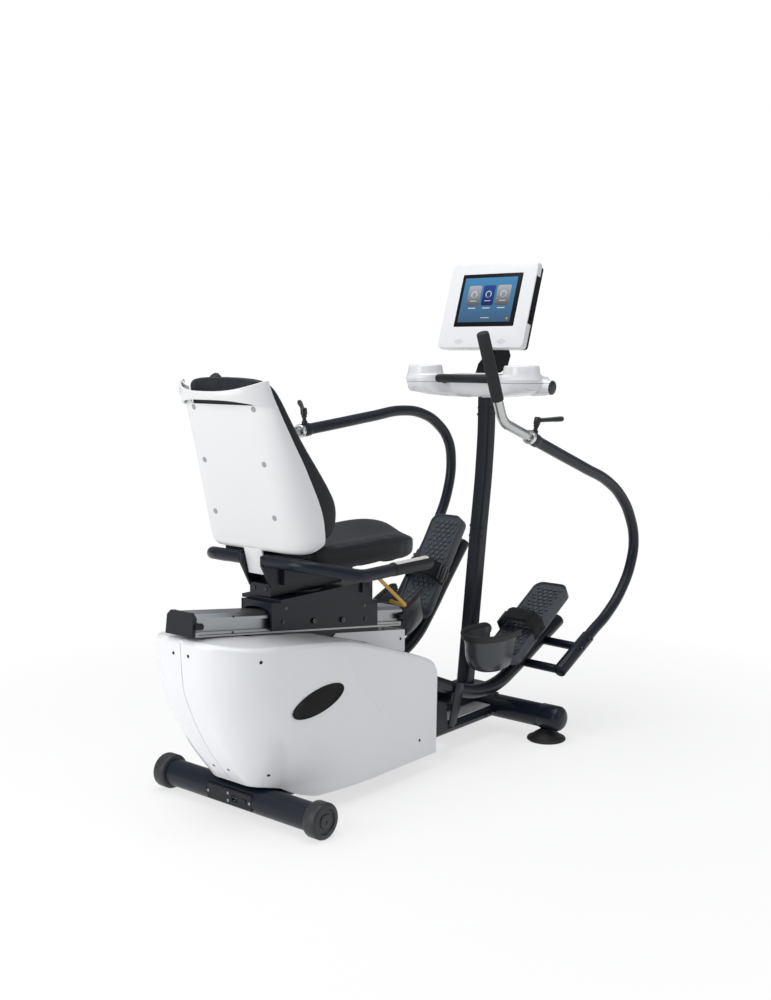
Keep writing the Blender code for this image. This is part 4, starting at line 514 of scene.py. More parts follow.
def rounded(points, radius, steps=6, closed=False):
    """The points with each corner between them turned into an arc."""
    def bent(first, final, share, size):
        return first.normalized().lerp(final.normalized(), share).normalized() * size

    points = [Vector(point) for point in points]
    last = len(points) - 1
    route = []
    for i, corner in enumerate(points):
        if not closed and i in (0, last):
            route.append(corner)
            continue
        back, ahead = points[i - 1] - corner, points[(i + 1) % len(points)] - corner
        half = back.angle(ahead) / 2
        reach = min(radius / math.tan(half), back.length * 0.49, ahead.length * 0.49)
        size = reach * math.tan(half)
        centre = corner + (back.normalized() + ahead.normalized()).normalized() * (size / math.sin(half))
        first = corner + back.normalized() * reach - centre
        final = corner + ahead.normalized() * reach - centre
        for step in range(steps + 1):
            route.append(centre + bent(first, final, step / steps, size))
    return route


def pipe(name, points, radius, sides=24, rings=0):
    """A round tube along the points: straight between them, or a smooth line with rings a stretch."""
    curve = bpy.data.curves.new(name, "CURVE")
    curve.dimensions = "3D"
    curve.bevel_depth = radius
    curve.bevel_resolution = sides // 4 - 1
    curve.use_fill_caps = True
    spline = curve.splines.new("BEZIER" if rings else "POLY")
    knots = spline.bezier_points if rings else spline.points
    knots.add(len(points) - 1)
    for knot, point in zip(knots, points):
        if rings:
            knot.co = point
            knot.handle_left_type = knot.handle_right_type = "AUTO"
        else:
            knot.co = (*point, 1.0)
    curve.resolution_u = max(rings, 1)
    made = add_object(name, curve)
    only(made)
    bpy.ops.object.convert(target="MESH")
    pick(made, "verts")
    bpy.ops.mesh.remove_doubles(threshold=0.00002)
    done()
    return made


def flat_plate(name, outline, low, high, plane="XZ", bevel=0.0, segments=2):
    """A flat outline filled and given thickness, from low to high across its plane."""
    shape = bmesh.new()
    spots, across = {
        "XZ": (lambda a, b: (a, low, b), Vector((0, 1, 0))),
        "XY": (lambda a, b: (a, b, low), Vector((0, 0, 1))),
        "YZ": (lambda a, b: (low, a, b), Vector((1, 0, 0))),
    }[plane]
    shape.faces.new([shape.verts.new(spots(point[0], point[1])) for point in outline])
    made = from_shape(name, shape)
    across = across * (high - low)
    pick(made, "faces")
    bpy.ops.mesh.extrude_region_move(TRANSFORM_OT_translate={"value": across})
    bpy.ops.mesh.select_all(action="SELECT")
    bpy.ops.mesh.normals_make_consistent(inside=False)
    done()
    if bevel:
        soften(made, bevel, segments, angle=40)
    return made


def bridge_rings(name, rings, caps=True):
    """Closed rings of as many points, joined one to the next by bridging them."""
    shape = bmesh.new()
    for ring in rings:
        corners = [shape.verts.new(point) for point in ring]
        for i, corner in enumerate(corners):
            shape.edges.new((corner, corners[(i + 1) % len(corners)]))
    made = from_shape(name, shape)
    count = len(rings[0])

    def on_rings(edge, wanted):
        first, second = (vertex.index // count for vertex in edge.verts)
        return first == second and first in wanted

    for i in range(len(rings) - 1):
        pick(made, "edges", lambda edge: on_rings(edge, (i, i + 1)))
        bpy.ops.mesh.bridge_edge_loops()
        done()
    if caps:
        pick(made, "edges", lambda edge: edge.is_boundary)
        bpy.ops.mesh.fill_holes(sides=0)
        done()
    face_outward(made)
    return made


def lathe(name, profile, start=(0, 0, 0), along=(0, 0, 1), steps=36):
    """A profile of (radius, distance) pairs spun round a line that leaves start in the given way."""
    mesh = bpy.data.meshes.new(name)
    spots = [(radius, 0.0, distance) for radius, distance in profile]
    mesh.from_pydata(spots, [(i, i + 1) for i in range(len(spots) - 1)], [])
    made = add_object(name, mesh)
    pick(made, "verts")
    bpy.ops.mesh.spin(steps=steps, angle=2 * math.pi, center=(0, 0, 0), axis=(0, 0, 1))
    bpy.ops.mesh.select_all(action="SELECT")
    bpy.ops.mesh.remove_doubles(threshold=0.00001)
    bpy.ops.mesh.normals_make_consistent(inside=False)
    done()
    return move(made, Matrix.Translation(start) @ turned_to(along))


print("the modelling helpers are ready")

# %% [markdown]
# ## Shroud
#
# The shroud is two white mouldings that meet in a thin dark line up the back. Each is one skin: a
# flat band beside the seam, a wide bow round the rear corner, then a straight side with a rolled
# top edge. It could be carved from a block, but a skin with even rows is easier to keep smooth,
# so a grid is added and each of its points is moved to the wall's plan. Two curved creases divide
# the side into three faces, the front one standing a little lower.

# %% The shroud's plan
def between(table, at):
    """A value read off a table of (position, value) pairs, on a smooth line, level past its ends."""
    at = min(max(at, table[0][0]), table[-1][0])
    for i in range(len(table) - 1):
        if at <= table[i + 1][0]:
            break
    (low, first), (high, last) = table[i], table[i + 1]

    def slope(j):
        if j == 0 or j == len(table) - 1:
            return None
        back = (table[j][1] - table[j - 1][1]) / (table[j][0] - table[j - 1][0])
        ahead = (table[j + 1][1] - table[j][1]) / (table[j + 1][0] - table[j][0])
        return 0.0 if back * ahead <= 0 else 2 * back * ahead / (back + ahead)

    run = high - low
    straight = (last - first) / run
    start, end = slope(i), slope(i + 1)
    start = straight if start is None else start
    end = straight if end is None else end
    t = (at - low) / run
    return (
        first * (2 * t**3 - 3 * t**2 + 1) + run * start * (t**3 - 2 * t**2 + t)
        + last * (3 * t**2 - 2 * t**3) + run * end * (t**3 - t**2)
    )


SEAM_LINE = ((0.096, -0.035), (0.211, -0.119), (0.315, -0.174), (0.417, -0.209), (0.545, -0.217))
BOW = ((0.05, 0.4), (0.13, 0.35), (0.27, 0.26), (0.545, 0.165))
WIDTHS = ((0.05, 0.204), (0.3, 0.208), (0.43, 0.207), (0.53, 0.198))
SIDE_TOP = (
    (-0.217, 0.536), (-0.155, 0.526), (-0.052, 0.52), (0.1, 0.504), (0.219, 0.488),
    (0.359, 0.452), (0.49, 0.409), (0.61, 0.365), (0.64, 0.349), (0.655, 0.326),
)
MIDDLE_TOP = (
    (-0.217, 0.546), (-0.155, 0.5445), (0.0, 0.5245), (0.1, 0.511), (0.219, 0.494),
    (0.347, 0.456), (0.49, 0.414), (0.61, 0.369), (0.64, 0.353), (0.655, 0.33),
)
HEM = (
    (-0.05, 0.1), (-0.03, 0.1), (0.02, 0.0935), (0.045, 0.08), (0.085, 0.062),
    (0.135, 0.05), (0.655, 0.05),
)
SEAM_HALF, BAND, FRONT_X, EDGE, SLOT = 0.0009, 0.055, 0.655, 0.015, 0.0446
SHROUD_HALF, SLOT_START = 0.208, -0.02
CREASES = (
    # (depth, the crease's points from its top down)
    (0.0036, (
        (-0.126, 0.512), (-0.123, 0.479), (-0.113, 0.439), (-0.07, 0.365), (-0.025, 0.299),
        (0.044, 0.22), (0.124, 0.147),
    )),
    (0.0042, ((0.2, 0.49), (0.219, 0.459), (0.27, 0.364), (0.405, 0.225), (0.579, 0.07))),
)
# Shares of the grid's columns: the band beside the seam, the bow, and the straight side.
BAND_END, BOW_SPAN, BOW_END, SIDE_SPAN = 0.08, 0.34, 0.42, 0.58
# Shares of its rows: the wall up to 1, the rolled edge, and the top face.
ROLL_SPAN, ROLL_END, TOP_SPAN, ROWS_END = 0.13, 1.13, 0.12, 1.25


def within(value):
    """The value held between 0 and 1."""
    return max(0.0, min(1.0, value))


def wall_plan(step, z):
    """Where a column of the wall stands at height z: its x and y."""
    rear, width, bow = between(SEAM_LINE, z), between(WIDTHS, z), between(BOW, z)
    if step <= BAND_END:
        return rear, SEAM_HALF + (BAND - SEAM_HALF) * step / BAND_END
    if step <= BOW_END:
        angle = (step - BAND_END) / BOW_SPAN * math.pi / 2
        return rear + bow * (1 - math.cos(angle)), BAND + (width - BAND) * math.sin(angle)
    return rear + bow + (FRONT_X - rear - bow) * ((step - BOW_END) / SIDE_SPAN), width


def crest_height(x, y):
    centre = between(MIDDLE_TOP, x)
    return centre + (between(SIDE_TOP, x) - centre) * (y / SHROUD_HALF) ** 2


def step_down(x, z):
    """How far the side stands in at a point: each crease is a soft step, deepest halfway down it."""
    total = 0.0
    for depth, crease in CREASES:
        line = sorted((height, along) for along, height in crease)
        fade = within((line[-1][0] - z) / 0.1) * within((z - line[0][0]) / 0.12)
        ahead = x - between(line, z)
        total += depth * fade * (within(ahead / 0.01) * math.exp(-max(ahead, 0.0) / 0.16))
    return total


print("the shroud's side has", len(CREASES), "creases")

# %% Make both halves
def shaped_grid(columns, rows, place):
    """A grid from -0.5 to 0.5 both ways, with each of its points moved to its place."""
    bpy.ops.mesh.primitive_grid_add(x_subdivisions=columns, y_subdivisions=rows, size=1.0)
    grid = bpy.context.object
    for vertex in grid.data.vertices:
        vertex.co = place(vertex.co.x, vertex.co.y)
    return grid


def skin_point(step, row):
    """A point of the skin: up the wall, round the rolled edge, then in over the top."""
    hem, crest = HEM[0][1], SIDE_TOP[0][1]
    for _ in range(8):
        hem = between(HEM, wall_plan(step, hem)[0])
        crest = crest_height(*wall_plan(step, crest - EDGE))
    lift = hem + (crest - EDGE - hem) * min(row, 1.0)
    x, y = wall_plan(step, lift)
    on_side = step > BOW_END
    slot = SLOT if x > SLOT_START else SEAM_HALF
    edge = min(EDGE, max(y - slot, 0.0))
    forward = 0.0 if on_side else 0.8 * edge
    if row <= 1.0:
        share = 1.0 if on_side else max(0.0, (step - 0.3) / 0.12)
        return x, y - step_down(x, lift) * share, lift
    if row <= ROLL_END:
        angle = (row - 1.0) / ROLL_SPAN * math.pi / 2
        turned = 1 - math.cos(angle)
        fall = (1 - turned) * (step_down(x, lift) if on_side else 0.0)
        return x + forward * turned, y - fall - edge * turned, lift + EDGE * math.sin(angle)
    top_x, top_y = x + forward, y - edge
    inner = top_y + (min(slot, top_y) - top_y) * (row - ROLL_END) / TOP_SPAN
    return top_x, inner, crest_height(top_x, inner) + (crest - crest_height(top_x, top_y))


def shroud_skin(side):
    def place(across, up):
        x, y, z = skin_point(across + 0.5, (up + 0.5) * ROWS_END)
        return x, side * y, z

    skin = shaped_grid(220, 96, place)
    pick(skin, "verts")
    bpy.ops.mesh.remove_doubles(threshold=0.00002)
    bpy.ops.mesh.dissolve_degenerate(threshold=0.00001)
    done()
    return skin


for word, side in SIDES.items():
    half = shroud_skin(side)
    outward = sum(face.normal.y * face.area for face in half.data.polygons) * side
    if outward < 0:
        pick(half, "faces")
        bpy.ops.mesh.flip_normals()
        done()
    apply_modifier(half, "SOLIDIFY", thickness=0.003, offset=-1.0, use_even_offset=False)
    half.name = f"shroud_skin_{word}"
    settle(half, "base", "white", WHITE_GLOSS, f"shroud_{word}", sharp=50)
    print(half.name, len(half.data.polygons), "faces")

# %% [markdown]
# ## Screws, plugs and the badge
#
# Small round fasteners are turned shapes, so each kind is spun from its profile once, and copies of it
# are set on the surface, square to it. A ray down onto the finished piece finds where the surface is
# and which way it faces. The badge is an oval plaque, a low dome with a rim, and it stays bare.

# %% Set copies of a fastener on a surface
def surface_at(piece, start, towards):
    """Where a line in bike coordinates meets the piece, and the surface's normal there."""
    bpy.context.view_layer.update()
    origin = Vector(start) + Vector((X0, 0, 0))
    hit, place, normal, _ = piece.ray_cast(origin, Vector(towards).normalized())
    if not hit:
        raise RuntimeError(f"nothing of {piece.name} at {start}")
    return place - Vector((X0, 0, 0)), normal


def set_copies(name, pattern, places, body, slot, finish, sharp=38):
    """A copy of the pattern at each (place, normal), all joined as one piece."""
    copies = []
    for place, normal in places:
        copy = add_object(name, pattern.data.copy())
        copy.matrix_world = Matrix.Translation(Vector(place)) @ turned_to(normal)
        copies.append(copy)
    only(*copies)
    bpy.ops.object.transform_apply(location=True, rotation=True, scale=True)
    return settle(join(name, *copies), body, slot, finish, sharp=sharp)


def on_both(y, *spots):
    """Places at these (x, z) spots of both sides, each facing outward."""
    return [((x, side * y, z), (0, side, 0)) for side in SIDES.values() for x, z in spots]


def socket_screw(name, radius, head):
    """A cap screw: a low rounded head with a recess for the key, from its seat up."""
    profile = [
        (0.0, head * 0.45), (radius * 0.48, head * 0.45), (radius * 0.52, head), (radius * 0.86, head),
        (radius, head * 0.72), (radius, -0.001),
    ]
    return lathe(name, profile, steps=16)


SKINS = {word: bpy.data.objects[f"shroud_skin_{word}"] for word in SIDES}
sunk_screw = lathe(
    "sunk_screw", [(0.0, 0.0005), (0.003, 0.0006), (0.0046, 0.0005), (0.0052, -0.0004)], steps=16,
)
places = []
for word, side in SIDES.items():
    for x, z in ((-0.02, 0.142), (-0.1, 0.49), (0.57, 0.11)):
        places.append(surface_at(SKINS[word], (x, side * 0.4, z), (0, -side, 0)))
    for z in (0.503, 0.15):
        places.append(surface_at(SKINS[word], (-0.6, side * 0.03, z), (1, 0, 0)))
set_copies("shroud_screws", sunk_screw, places, "base", "black_plastic", BLACK_PLASTIC)
places = on_both(0.0475, (0.667, 0.392))
set_copies("fairing_screws", sunk_screw, places, "base", "black_plastic", BLACK_PLASTIC)
drop(sunk_screw)
print("the shroud and its fairing are screwed on")

# %% The oval badge, left bare
BADGE_PROFILE = [
    (0.0, 0.0022), (0.6, 0.0021), (0.9, 0.0016), (0.93, 0.0024), (0.98, 0.0024), (1.0, -0.0005),
]
for word, side in SIDES.items():
    place, normal = surface_at(SKINS[word], (0.11, side * 0.4, 0.34), (0, -side, 0))
    badge = lathe(f"shroud_badge_{word}", BADGE_PROFILE, steps=64)
    badge.matrix_world = (
        Matrix.Translation(place) @ Matrix.Rotation(-side * math.pi / 2, 4, "X")
        @ Matrix.Rotation(-side * math.radians(10), 4, "Z") @ Matrix.Diagonal((0.107, 0.036, 1.0, 1.0))
    )
    settle(badge, "base", "black_plastic", DEEP_BLACK, sharp=30)
print("screws and badges are on")

# %% [markdown]
# ## Foot levers and arms
#
# Each lever is a bent steel tube that carries a foot plate, and beside it a sleeve into which the
# arm's own tube is bolted. Tubes are drawn along their bends. The left lever is the right one's
# mirror image, swung forward about the pivot, so all is built level with the right one and the
# left group is turned at the end.

# %% Place a piece on a lever
LEVER_ROUTE = (
    (0.66, 0.275), (0.714, 0.252), (0.818, 0.212), (0.926, 0.186), (1.039, 0.188), (1.131, 0.218),
    (1.275, 0.28), (1.427, 0.343),
)
ARM_ROUTE = (
    (1.408, 0.3334), (1.491, 0.37), (1.604, 0.451), (1.672, 0.548), (1.686, 0.625), (1.654, 0.712),
    (1.588, 0.79), (1.486, 0.856), (1.326, 0.916), (1.175, 0.97), (0.981, 1.04),
)
PIVOT = Vector((0.764, 0.0, 0.201))
LEFT_TURN = Matrix.Rotation(math.radians(-25.1), 4, "Y")
LEVER_Y, ARM_Y = 0.17, 0.33
FOOT_PLACE, FOOT_SLOPE = (1.044, 0.285), math.radians(-30)


def swing(piece, side):
    """Turns a left piece forward about the pivot, as the left lever stands."""
    turn = Matrix.Translation(PIVOT) @ LEFT_TURN @ Matrix.Translation(-PIVOT)
    return move(piece, turn if side > 0 else Matrix())


def hang(piece, side, body, slot, finish, *nodes, sharp=38):
    """Swings a finished piece with its lever and settles it on its body."""
    return settle(swing(piece, side), body, slot, finish, *nodes, sharp=sharp)


def foot_place(side):
    """The foot plate's own frame: X climbs the plate from its heel, Z stands on its top face."""
    x, z = FOOT_PLACE
    return Matrix.Translation((x, side * LEVER_Y, z)) @ Matrix.Rotation(FOOT_SLOPE, 4, "Y")


def on_foot(piece, side):
    return move(piece, foot_place(side))


SLEEVE_LOW, SLEEVE_HIGH = Vector((1.182, 0, 0.227)), Vector((1.369, 0, 0.315))
ALONG_SLEEVE = (SLEEVE_HIGH - SLEEVE_LOW).normalized()
ARM_END = Vector((0.981, 0, 1.04))
ALONG_ARM = (ARM_END - Vector((1.175, 0, 0.97))).normalized()
ARM_UP = Vector((ALONG_ARM.z, 0, -ALONG_ARM.x))
print("the levers turn about", [round(value, 3) for value in PIVOT])

# %% Lever tubes, sleeves and arms
HANGER = (
    (0.728, 0.118), (0.752, 0.108), (0.768, 0.118), (0.806, 0.214), (0.806, 0.24), (0.776, 0.25),
    (0.764, 0.24),
)
UNDER_PLATE = -0.0403


def sleeve_at(share):
    return SLEEVE_LOW.lerp(SLEEVE_HIGH, share)


for word, side in SIDES.items():
    shift_lever, shift_arm = Vector((0, side * LEVER_Y, 0)), Vector((0, side * ARM_Y, 0))
    route = [Vector((x, 0, z)) + shift_lever for x, z in LEVER_ROUTE]
    lever = pipe("lever", route, 0.024, sides=32, rings=10)
    soften(lever, 0.003, 3, angle=60)
    hub = bar("hub", (PIVOT.x, side * 0.1403, PIVOT.z), (PIVOT.x, side * 0.1985, PIVOT.z), 0.022, 32, 0.002)
    sleeve = bar("sleeve", SLEEVE_LOW + shift_arm, SLEEVE_HIGH + shift_arm, 0.023, 32, bevel=0.0015)
    cross = []
    for x, z in ((1.31, 0.299), (1.19, 0.242)):
        share = (x - SLEEVE_LOW.x) / (SLEEVE_HIGH.x - SLEEVE_LOW.x)
        outer = sleeve_at(share) + Vector((0, side * 0.3185, 0))
        cross.append(bar("cross", (x, side * LEVER_Y, z - 0.008), outer, 0.015, 24))
    slide = block("slide", (0.07, -0.036, UNDER_PLATE - 0.026), (0.33, 0.036, UNDER_PLATE), bevel=0.006)
    deep = UNDER_PLATE - 0.085
    web = block("web", (0.11, -0.012, deep), (0.31, 0.012, UNDER_PLATE - 0.01), bevel=0.004)
    hanger = flat_plate("hanger", HANGER, side * 0.1958, side * 0.2008, bevel=0.001)
    parts = (hub, sleeve, *cross, on_foot(slide, side), on_foot(web, side), hanger)
    whole = join(f"lever_tube_{word}", lever, *parts)
    hang(whole, side, f"{word}_lever", "dark_paint", DARK_PAINT, f"foot_lever_{word}", sharp=45)

    start = SLEEVE_HIGH - ALONG_SLEEVE * 0.0797
    route = [start, (start + SLEEVE_HIGH) / 2, SLEEVE_HIGH, *[Vector((x, 0, z)) for x, z in ARM_ROUTE]]
    arm = pipe("arm", [point + shift_arm for point in route], 0.019, sides=32, rings=10)
    end = ARM_END + shift_arm
    collar = bar("collar", end - ALONG_ARM * 0.04, end, 0.022, 32, bevel=0.002)
    boss_foot = end - ALONG_ARM * 0.02
    boss = bar("boss", boss_foot + ARM_UP * 0.01, boss_foot + ARM_UP * 0.03, 0.01, 20, bevel=0.001)
    arm = join(f"arm_{word}", arm, collar, boss)
    hang(arm, side, f"{word}_lever", "dark_paint", DARK_PAINT, f"arm_tube_{word}", sharp=45)

    bolt = socket_screw("bolt", 0.0075, 0.006)
    below = Vector((ALONG_SLEEVE.z, 0, -ALONG_SLEEVE.x))
    beside = (below * -0.35 + Vector((0, side, 0))).normalized()
    places = []
    for share, outward in ((0.62, beside), (0.9, beside), (0.62, below), (0.9, below)):
        places.append((sleeve_at(share) + shift_arm + outward * 0.0225, outward))
    bolts = set_copies(f"sleeve_bolts_{word}", bolt, places, f"{word}_lever", "steel", DARK_STEEL)
    drop(bolt)
    if side > 0:
        pivot = PIVOT + Vector((X0, 0, 0))
        bolts.data.transform(Matrix.Translation(pivot) @ LEFT_TURN @ Matrix.Translation(-pivot))
print("levers and arms are drawn")

# %% [markdown]
# ## Foot plates
#
# A foot plate is a thick moulding with a raised rim, and its tread is set with round studs that
# are larger in the middle. The slab is cut from its outline, the top face is inset and pushed
# down for the tread, and one domed stud of few faces is copied over it in rows.

# %% Foot plates with their studs
FOOT_LENGTH, FOOT_HALF, FOOT_THICK = 0.4, 0.068, 0.04
corners = [(0, -FOOT_HALF, 0), (FOOT_LENGTH, -FOOT_HALF, 0), (FOOT_LENGTH, FOOT_HALF, 0), (0, FOOT_HALF, 0)]
toe = [(point.x, point.y) for point in rounded(corners, 0.034, steps=10, closed=True)]
for word, side in SIDES.items():
    plate = flat_plate("plate", toe, -FOOT_THICK, 0.0, "XY")
    pick(plate, "faces", lambda face: face.normal.z > 0.9)
    bpy.ops.mesh.inset(thickness=0.0055)
    bpy.ops.mesh.extrude_region_move(TRANSFORM_OT_translate={"value": (0, 0, -0.006)})
    bpy.ops.mesh.inset(thickness=0.004)
    done()
    soften(plate, 0.0022, 3, angle=40)
    plate.name = f"foot_tread_{word}"
    hang(on_foot(plate, side), side, f"{word}_lever", "black_plastic", TREAD_PLASTIC, f"foot_plate_{word}")

    studs = []
    for row in range(20):
        climb = 0.03 + row * 0.0178
        count = 5 if row % 2 else 4
        for place in range(count):
            across = (place - (count - 1) / 2) * 0.0225
            wide = 0.0088 if abs(across) < 0.024 else 0.0062
            if math.hypot(max(climb - 0.366, 0), max(abs(across) - 0.034, 0)) > 0.022 or climb > 0.384:
                continue
            bpy.ops.mesh.primitive_cylinder_add(
                vertices=12, radius=wide, depth=0.0032, location=(climb, across, -0.0046),
            )
            stud = bpy.context.object
            pick(stud, "faces", lambda face: face.normal.z > 0.9)
            bpy.ops.mesh.inset(thickness=wide * 0.22)
            bpy.ops.transform.translate(value=(0, 0, 0.0009))
            done()
            studs.append(stud)
    studs = on_foot(join(f"foot_studs_{word}", *studs), side)
    hang(studs, side, f"{word}_lever", "black_plastic", TREAD_PLASTIC)
print("foot plates are in")

# %% [markdown]
# ## Heel cups
#
# A heel cup is a deep glossy shell that opens upwards, with a thick rubber lip round it. Rings are
# drawn from the small foot to the wide mouth and bridged, the shell gets its wall, and the part
# where the foot plate passes is cut away. The lip is an open U of rubber: its rings follow the
# mouth, and its two ends fall a little beside the plate.

# %% Heel cups and their lips
HEEL_RINGS = (
    # (height, middle x, half length, half width)
    (0.243, 1.0, 0.034, 0.03), (0.247, 0.997, 0.054, 0.041), (0.2535, 0.994, 0.068, 0.049),
    (0.265, 0.991, 0.081, 0.057), (0.282, 0.988, 0.09, 0.0625), (0.302, 0.986, 0.0945, 0.0655),
    (0.325, 0.986, 0.0965, 0.0665), (0.34, 0.987, 0.098, 0.067), (0.356, 0.988, 0.1045, 0.07),
    (0.368, 0.989, 0.1075, 0.072),
)
MOUTH_X, MOUTH_HALF_LENGTH, MOUTH_HALF_WIDTH = 0.989, 0.1115, 0.0745
LIP_HEIGHT, LIP_LEAN, LIP_STATIONS, LIP_SIDES = 0.3715, 0.03, 61, 12


def outline_point(angle, length, width):
    """A point of the cup's plan: an oval at the back, squarer at the front, where it holds the plate."""
    along, across = math.cos(angle), math.sin(angle)
    if along > 0:
        power = 1.0 - 0.45 * min(1.0, along * 2)
        along, across = along ** power, math.copysign(abs(across) ** power, across)
    return length * along, width * across


def oval(height, centre, length, width, side, steps=96):
    """A ring of the cup. The higher it is, the more it leans down on the outer side."""
    ring = []
    lean = LIP_LEAN * within((height - 0.26) / 0.08)
    for i in range(steps):
        along, across = outline_point(2 * math.pi * i / steps, length, width)
        ring.append((centre + along, side * (LEVER_Y - across), height + lean * across))
    return ring


def lip_ring(station, side):
    """A ring of the lip's round edge, at one of the stations along the U."""
    angle = math.radians(40 + 280 * station / 60)
    end_fall = 0.012 * (max(0.0, abs(station - 30) / 30 - 0.8) / 0.2) ** 2
    ring = []
    for turn in range(LIP_SIDES):
        swell = 2 * math.pi * turn / LIP_SIDES
        out, up = 0.0048 * math.cos(swell), 0.0125 * math.sin(swell)
        out += 0.001 + 0.003 * math.sin(swell)
        along, across = outline_point(angle, MOUTH_HALF_LENGTH + out, MOUTH_HALF_WIDTH + out)
        height = LIP_HEIGHT + up + LIP_LEAN * across - end_fall
        ring.append((MOUTH_X + along, side * (LEVER_Y - across), height))
    return ring


for word, side in SIDES.items():
    cup = bridge_rings("cup", [oval(*ring, side) for ring in HEEL_RINGS], caps=False)
    pick(cup, "edges", lambda edge: edge.is_boundary and middle(edge).z < 0.25)
    bpy.ops.mesh.fill_holes(sides=0)
    bpy.ops.mesh.select_all(action="SELECT")
    bpy.ops.mesh.normals_make_consistent(inside=False)
    done()
    foot = foot_place(side).inverted()
    pick(cup, "faces", lambda face: (foot @ middle(face)).x > 0.012 and (foot @ middle(face)).z > -0.004
         and abs(middle(face).y - side * LEVER_Y) < 0.054)
    bpy.ops.mesh.delete(type="FACE")
    done()
    apply_modifier(cup, "SOLIDIFY", thickness=0.0042, offset=-1.0, use_even_offset=True)
    cup.name = f"heel_shell_{word}"
    hang(cup, side, f"{word}_lever", "grey_plastic", GREY_PLASTIC, f"heel_cup_{word}", sharp=50)
    lip = bridge_rings(f"heel_lip_{word}", [lip_ring(station, side) for station in range(LIP_STATIONS)])
    hang(lip, side, f"{word}_lever", "rubber", RUBBER, f"heel_cup_{word}", sharp=50)
print("heel cups are in")

# %% [markdown]
# ## Instep straps
#
# Webbing crosses the foot plate and closes with a buckle. The strap is modelled flat on, as a band
# with thickness that follows its path over the foot; a second, shorter layer lies on it where the
# free end is folded back through the buckle.

# %% Straps and buckles
def band(name, path, low, high, thickness):
    """A band of that thickness that follows a path across the plate, in the foot plate's frame."""
    shape = bmesh.new()
    rows = []
    for share in range(5):
        x = low + (high - low) * share / 4
        rows.append([shape.verts.new((x, point.x, point.y)) for point in path])
    for near, far in zip(rows, rows[1:]):
        for i in range(len(path) - 1):
            shape.faces.new((near[i], near[i + 1], far[i + 1], far[i]))
    made = from_shape(name, shape)
    return apply_modifier(made, "SOLIDIFY", thickness=thickness, offset=0.0, use_even_offset=True)


def strap_path(grow, low, points=10):
    """The strap's path: up one side of the plate, over the instep and down the other side."""
    half = FOOT_HALF + 0.002 + grow
    spots = [(-half, low), (-half, 0.012), (-half * 0.7, 0.044 + grow)]
    spots += [(-x, z) for x, z in reversed(spots)]
    return rounded([(*spot, 0) for spot in spots], 0.03, steps=points)


for word, side in SIDES.items():
    strap = band("strap", strap_path(0.0, -0.03), 0.132, 0.198, 0.003)
    folded = [point for point in strap_path(0.0032, -0.012) if point.x * -side > -0.05]
    fold = band("fold", folded, 0.14, 0.19, 0.003)
    soft = join(f"instep_strap_{word}", strap, fold)
    soften(soft, 0.0006, 1, angle=50)
    hang(on_foot(soft, side), side, f"{word}_lever", "strap", WEBBING, f"foot_strap_{word}", sharp=45)

    outer, inner = -side * (FOOT_HALF + 0.0075), -side * (FOOT_HALF + 0.001)
    buckle = join(
        f"strap_buckle_{word}",
        block("buckle", (0.134, outer - 0.0045, -0.014), (0.196, outer + 0.0045, 0.024), bevel=0.0035),
        block("pad", (0.142, outer - 0.01, -0.006), (0.188, outer + 0.01, 0.012), bevel=0.005),
        block("anchor", (0.156, inner - 0.004, -0.04), (0.189, inner + 0.004, -0.022), bevel=0.003),
    )
    hang(on_foot(buckle, side), side, f"{word}_lever", "black_plastic", BLACK_SMOOTH)
print("straps are buckled")

# %% [markdown]
# ## Handles
#
# A polished tube slides in the arm's end and turns up into the grip. It is held by a clamp ring and a
# lever on a stud, with a red dot where the lever closes. The grip is a foam sleeve with rounded ends.

# %% Handles, grips and clamp levers
GRIP_FOOT_Z, GRIP_TOP_Z = 1.165, 1.37
CORNER, TOP = Vector((0.823, 0, 1.097)), Vector((0.711, 0, GRIP_TOP_Z))
RING_PROFILE = [
    (0.0165, 0.0), (0.0225, 0.0), (0.0232, 0.001), (0.0232, 0.013), (0.0225, 0.014), (0.0165, 0.014),
    (0.0165, 0.0),
]
STUD_PROFILE = [(0.0, 0.0), (0.007, 0.0), (0.007, 0.012), (0.0092, 0.0125), (0.0092, 0.0195), (0.0, 0.0196)]
HUB_PROFILE = [
    (0.0, 0.0), (0.0095, 0.0), (0.0112, 0.002), (0.0112, 0.021), (0.01, 0.0235), (0.0065, 0.024),
    (0.006, 0.0232), (0.0, 0.0232),
]
LEVER_PROFILE = [
    (0.0, -0.002), (0.0078, -0.002), (0.007, 0.018), (0.0074, 0.04), (0.0084, 0.062), (0.0088, 0.076),
    (0.0074, 0.083), (0.004, 0.0855), (0.0, 0.0858),
]
DOT_PROFILE = [(0.0, 0.001), (0.0038, 0.0008), (0.0048, -0.0004)]


def foam_profile(length):
    """A sleeve open at its foot and rounded over at its top."""
    return [
        (0.0163, -0.0005), (0.018, -0.0003), (0.0192, 0.0015), (0.0195, 0.006), (0.0195, length - 0.01),
        (0.0188, length - 0.0045), (0.0165, length - 0.0012), (0.0125, length), (0.0, length),
    ]


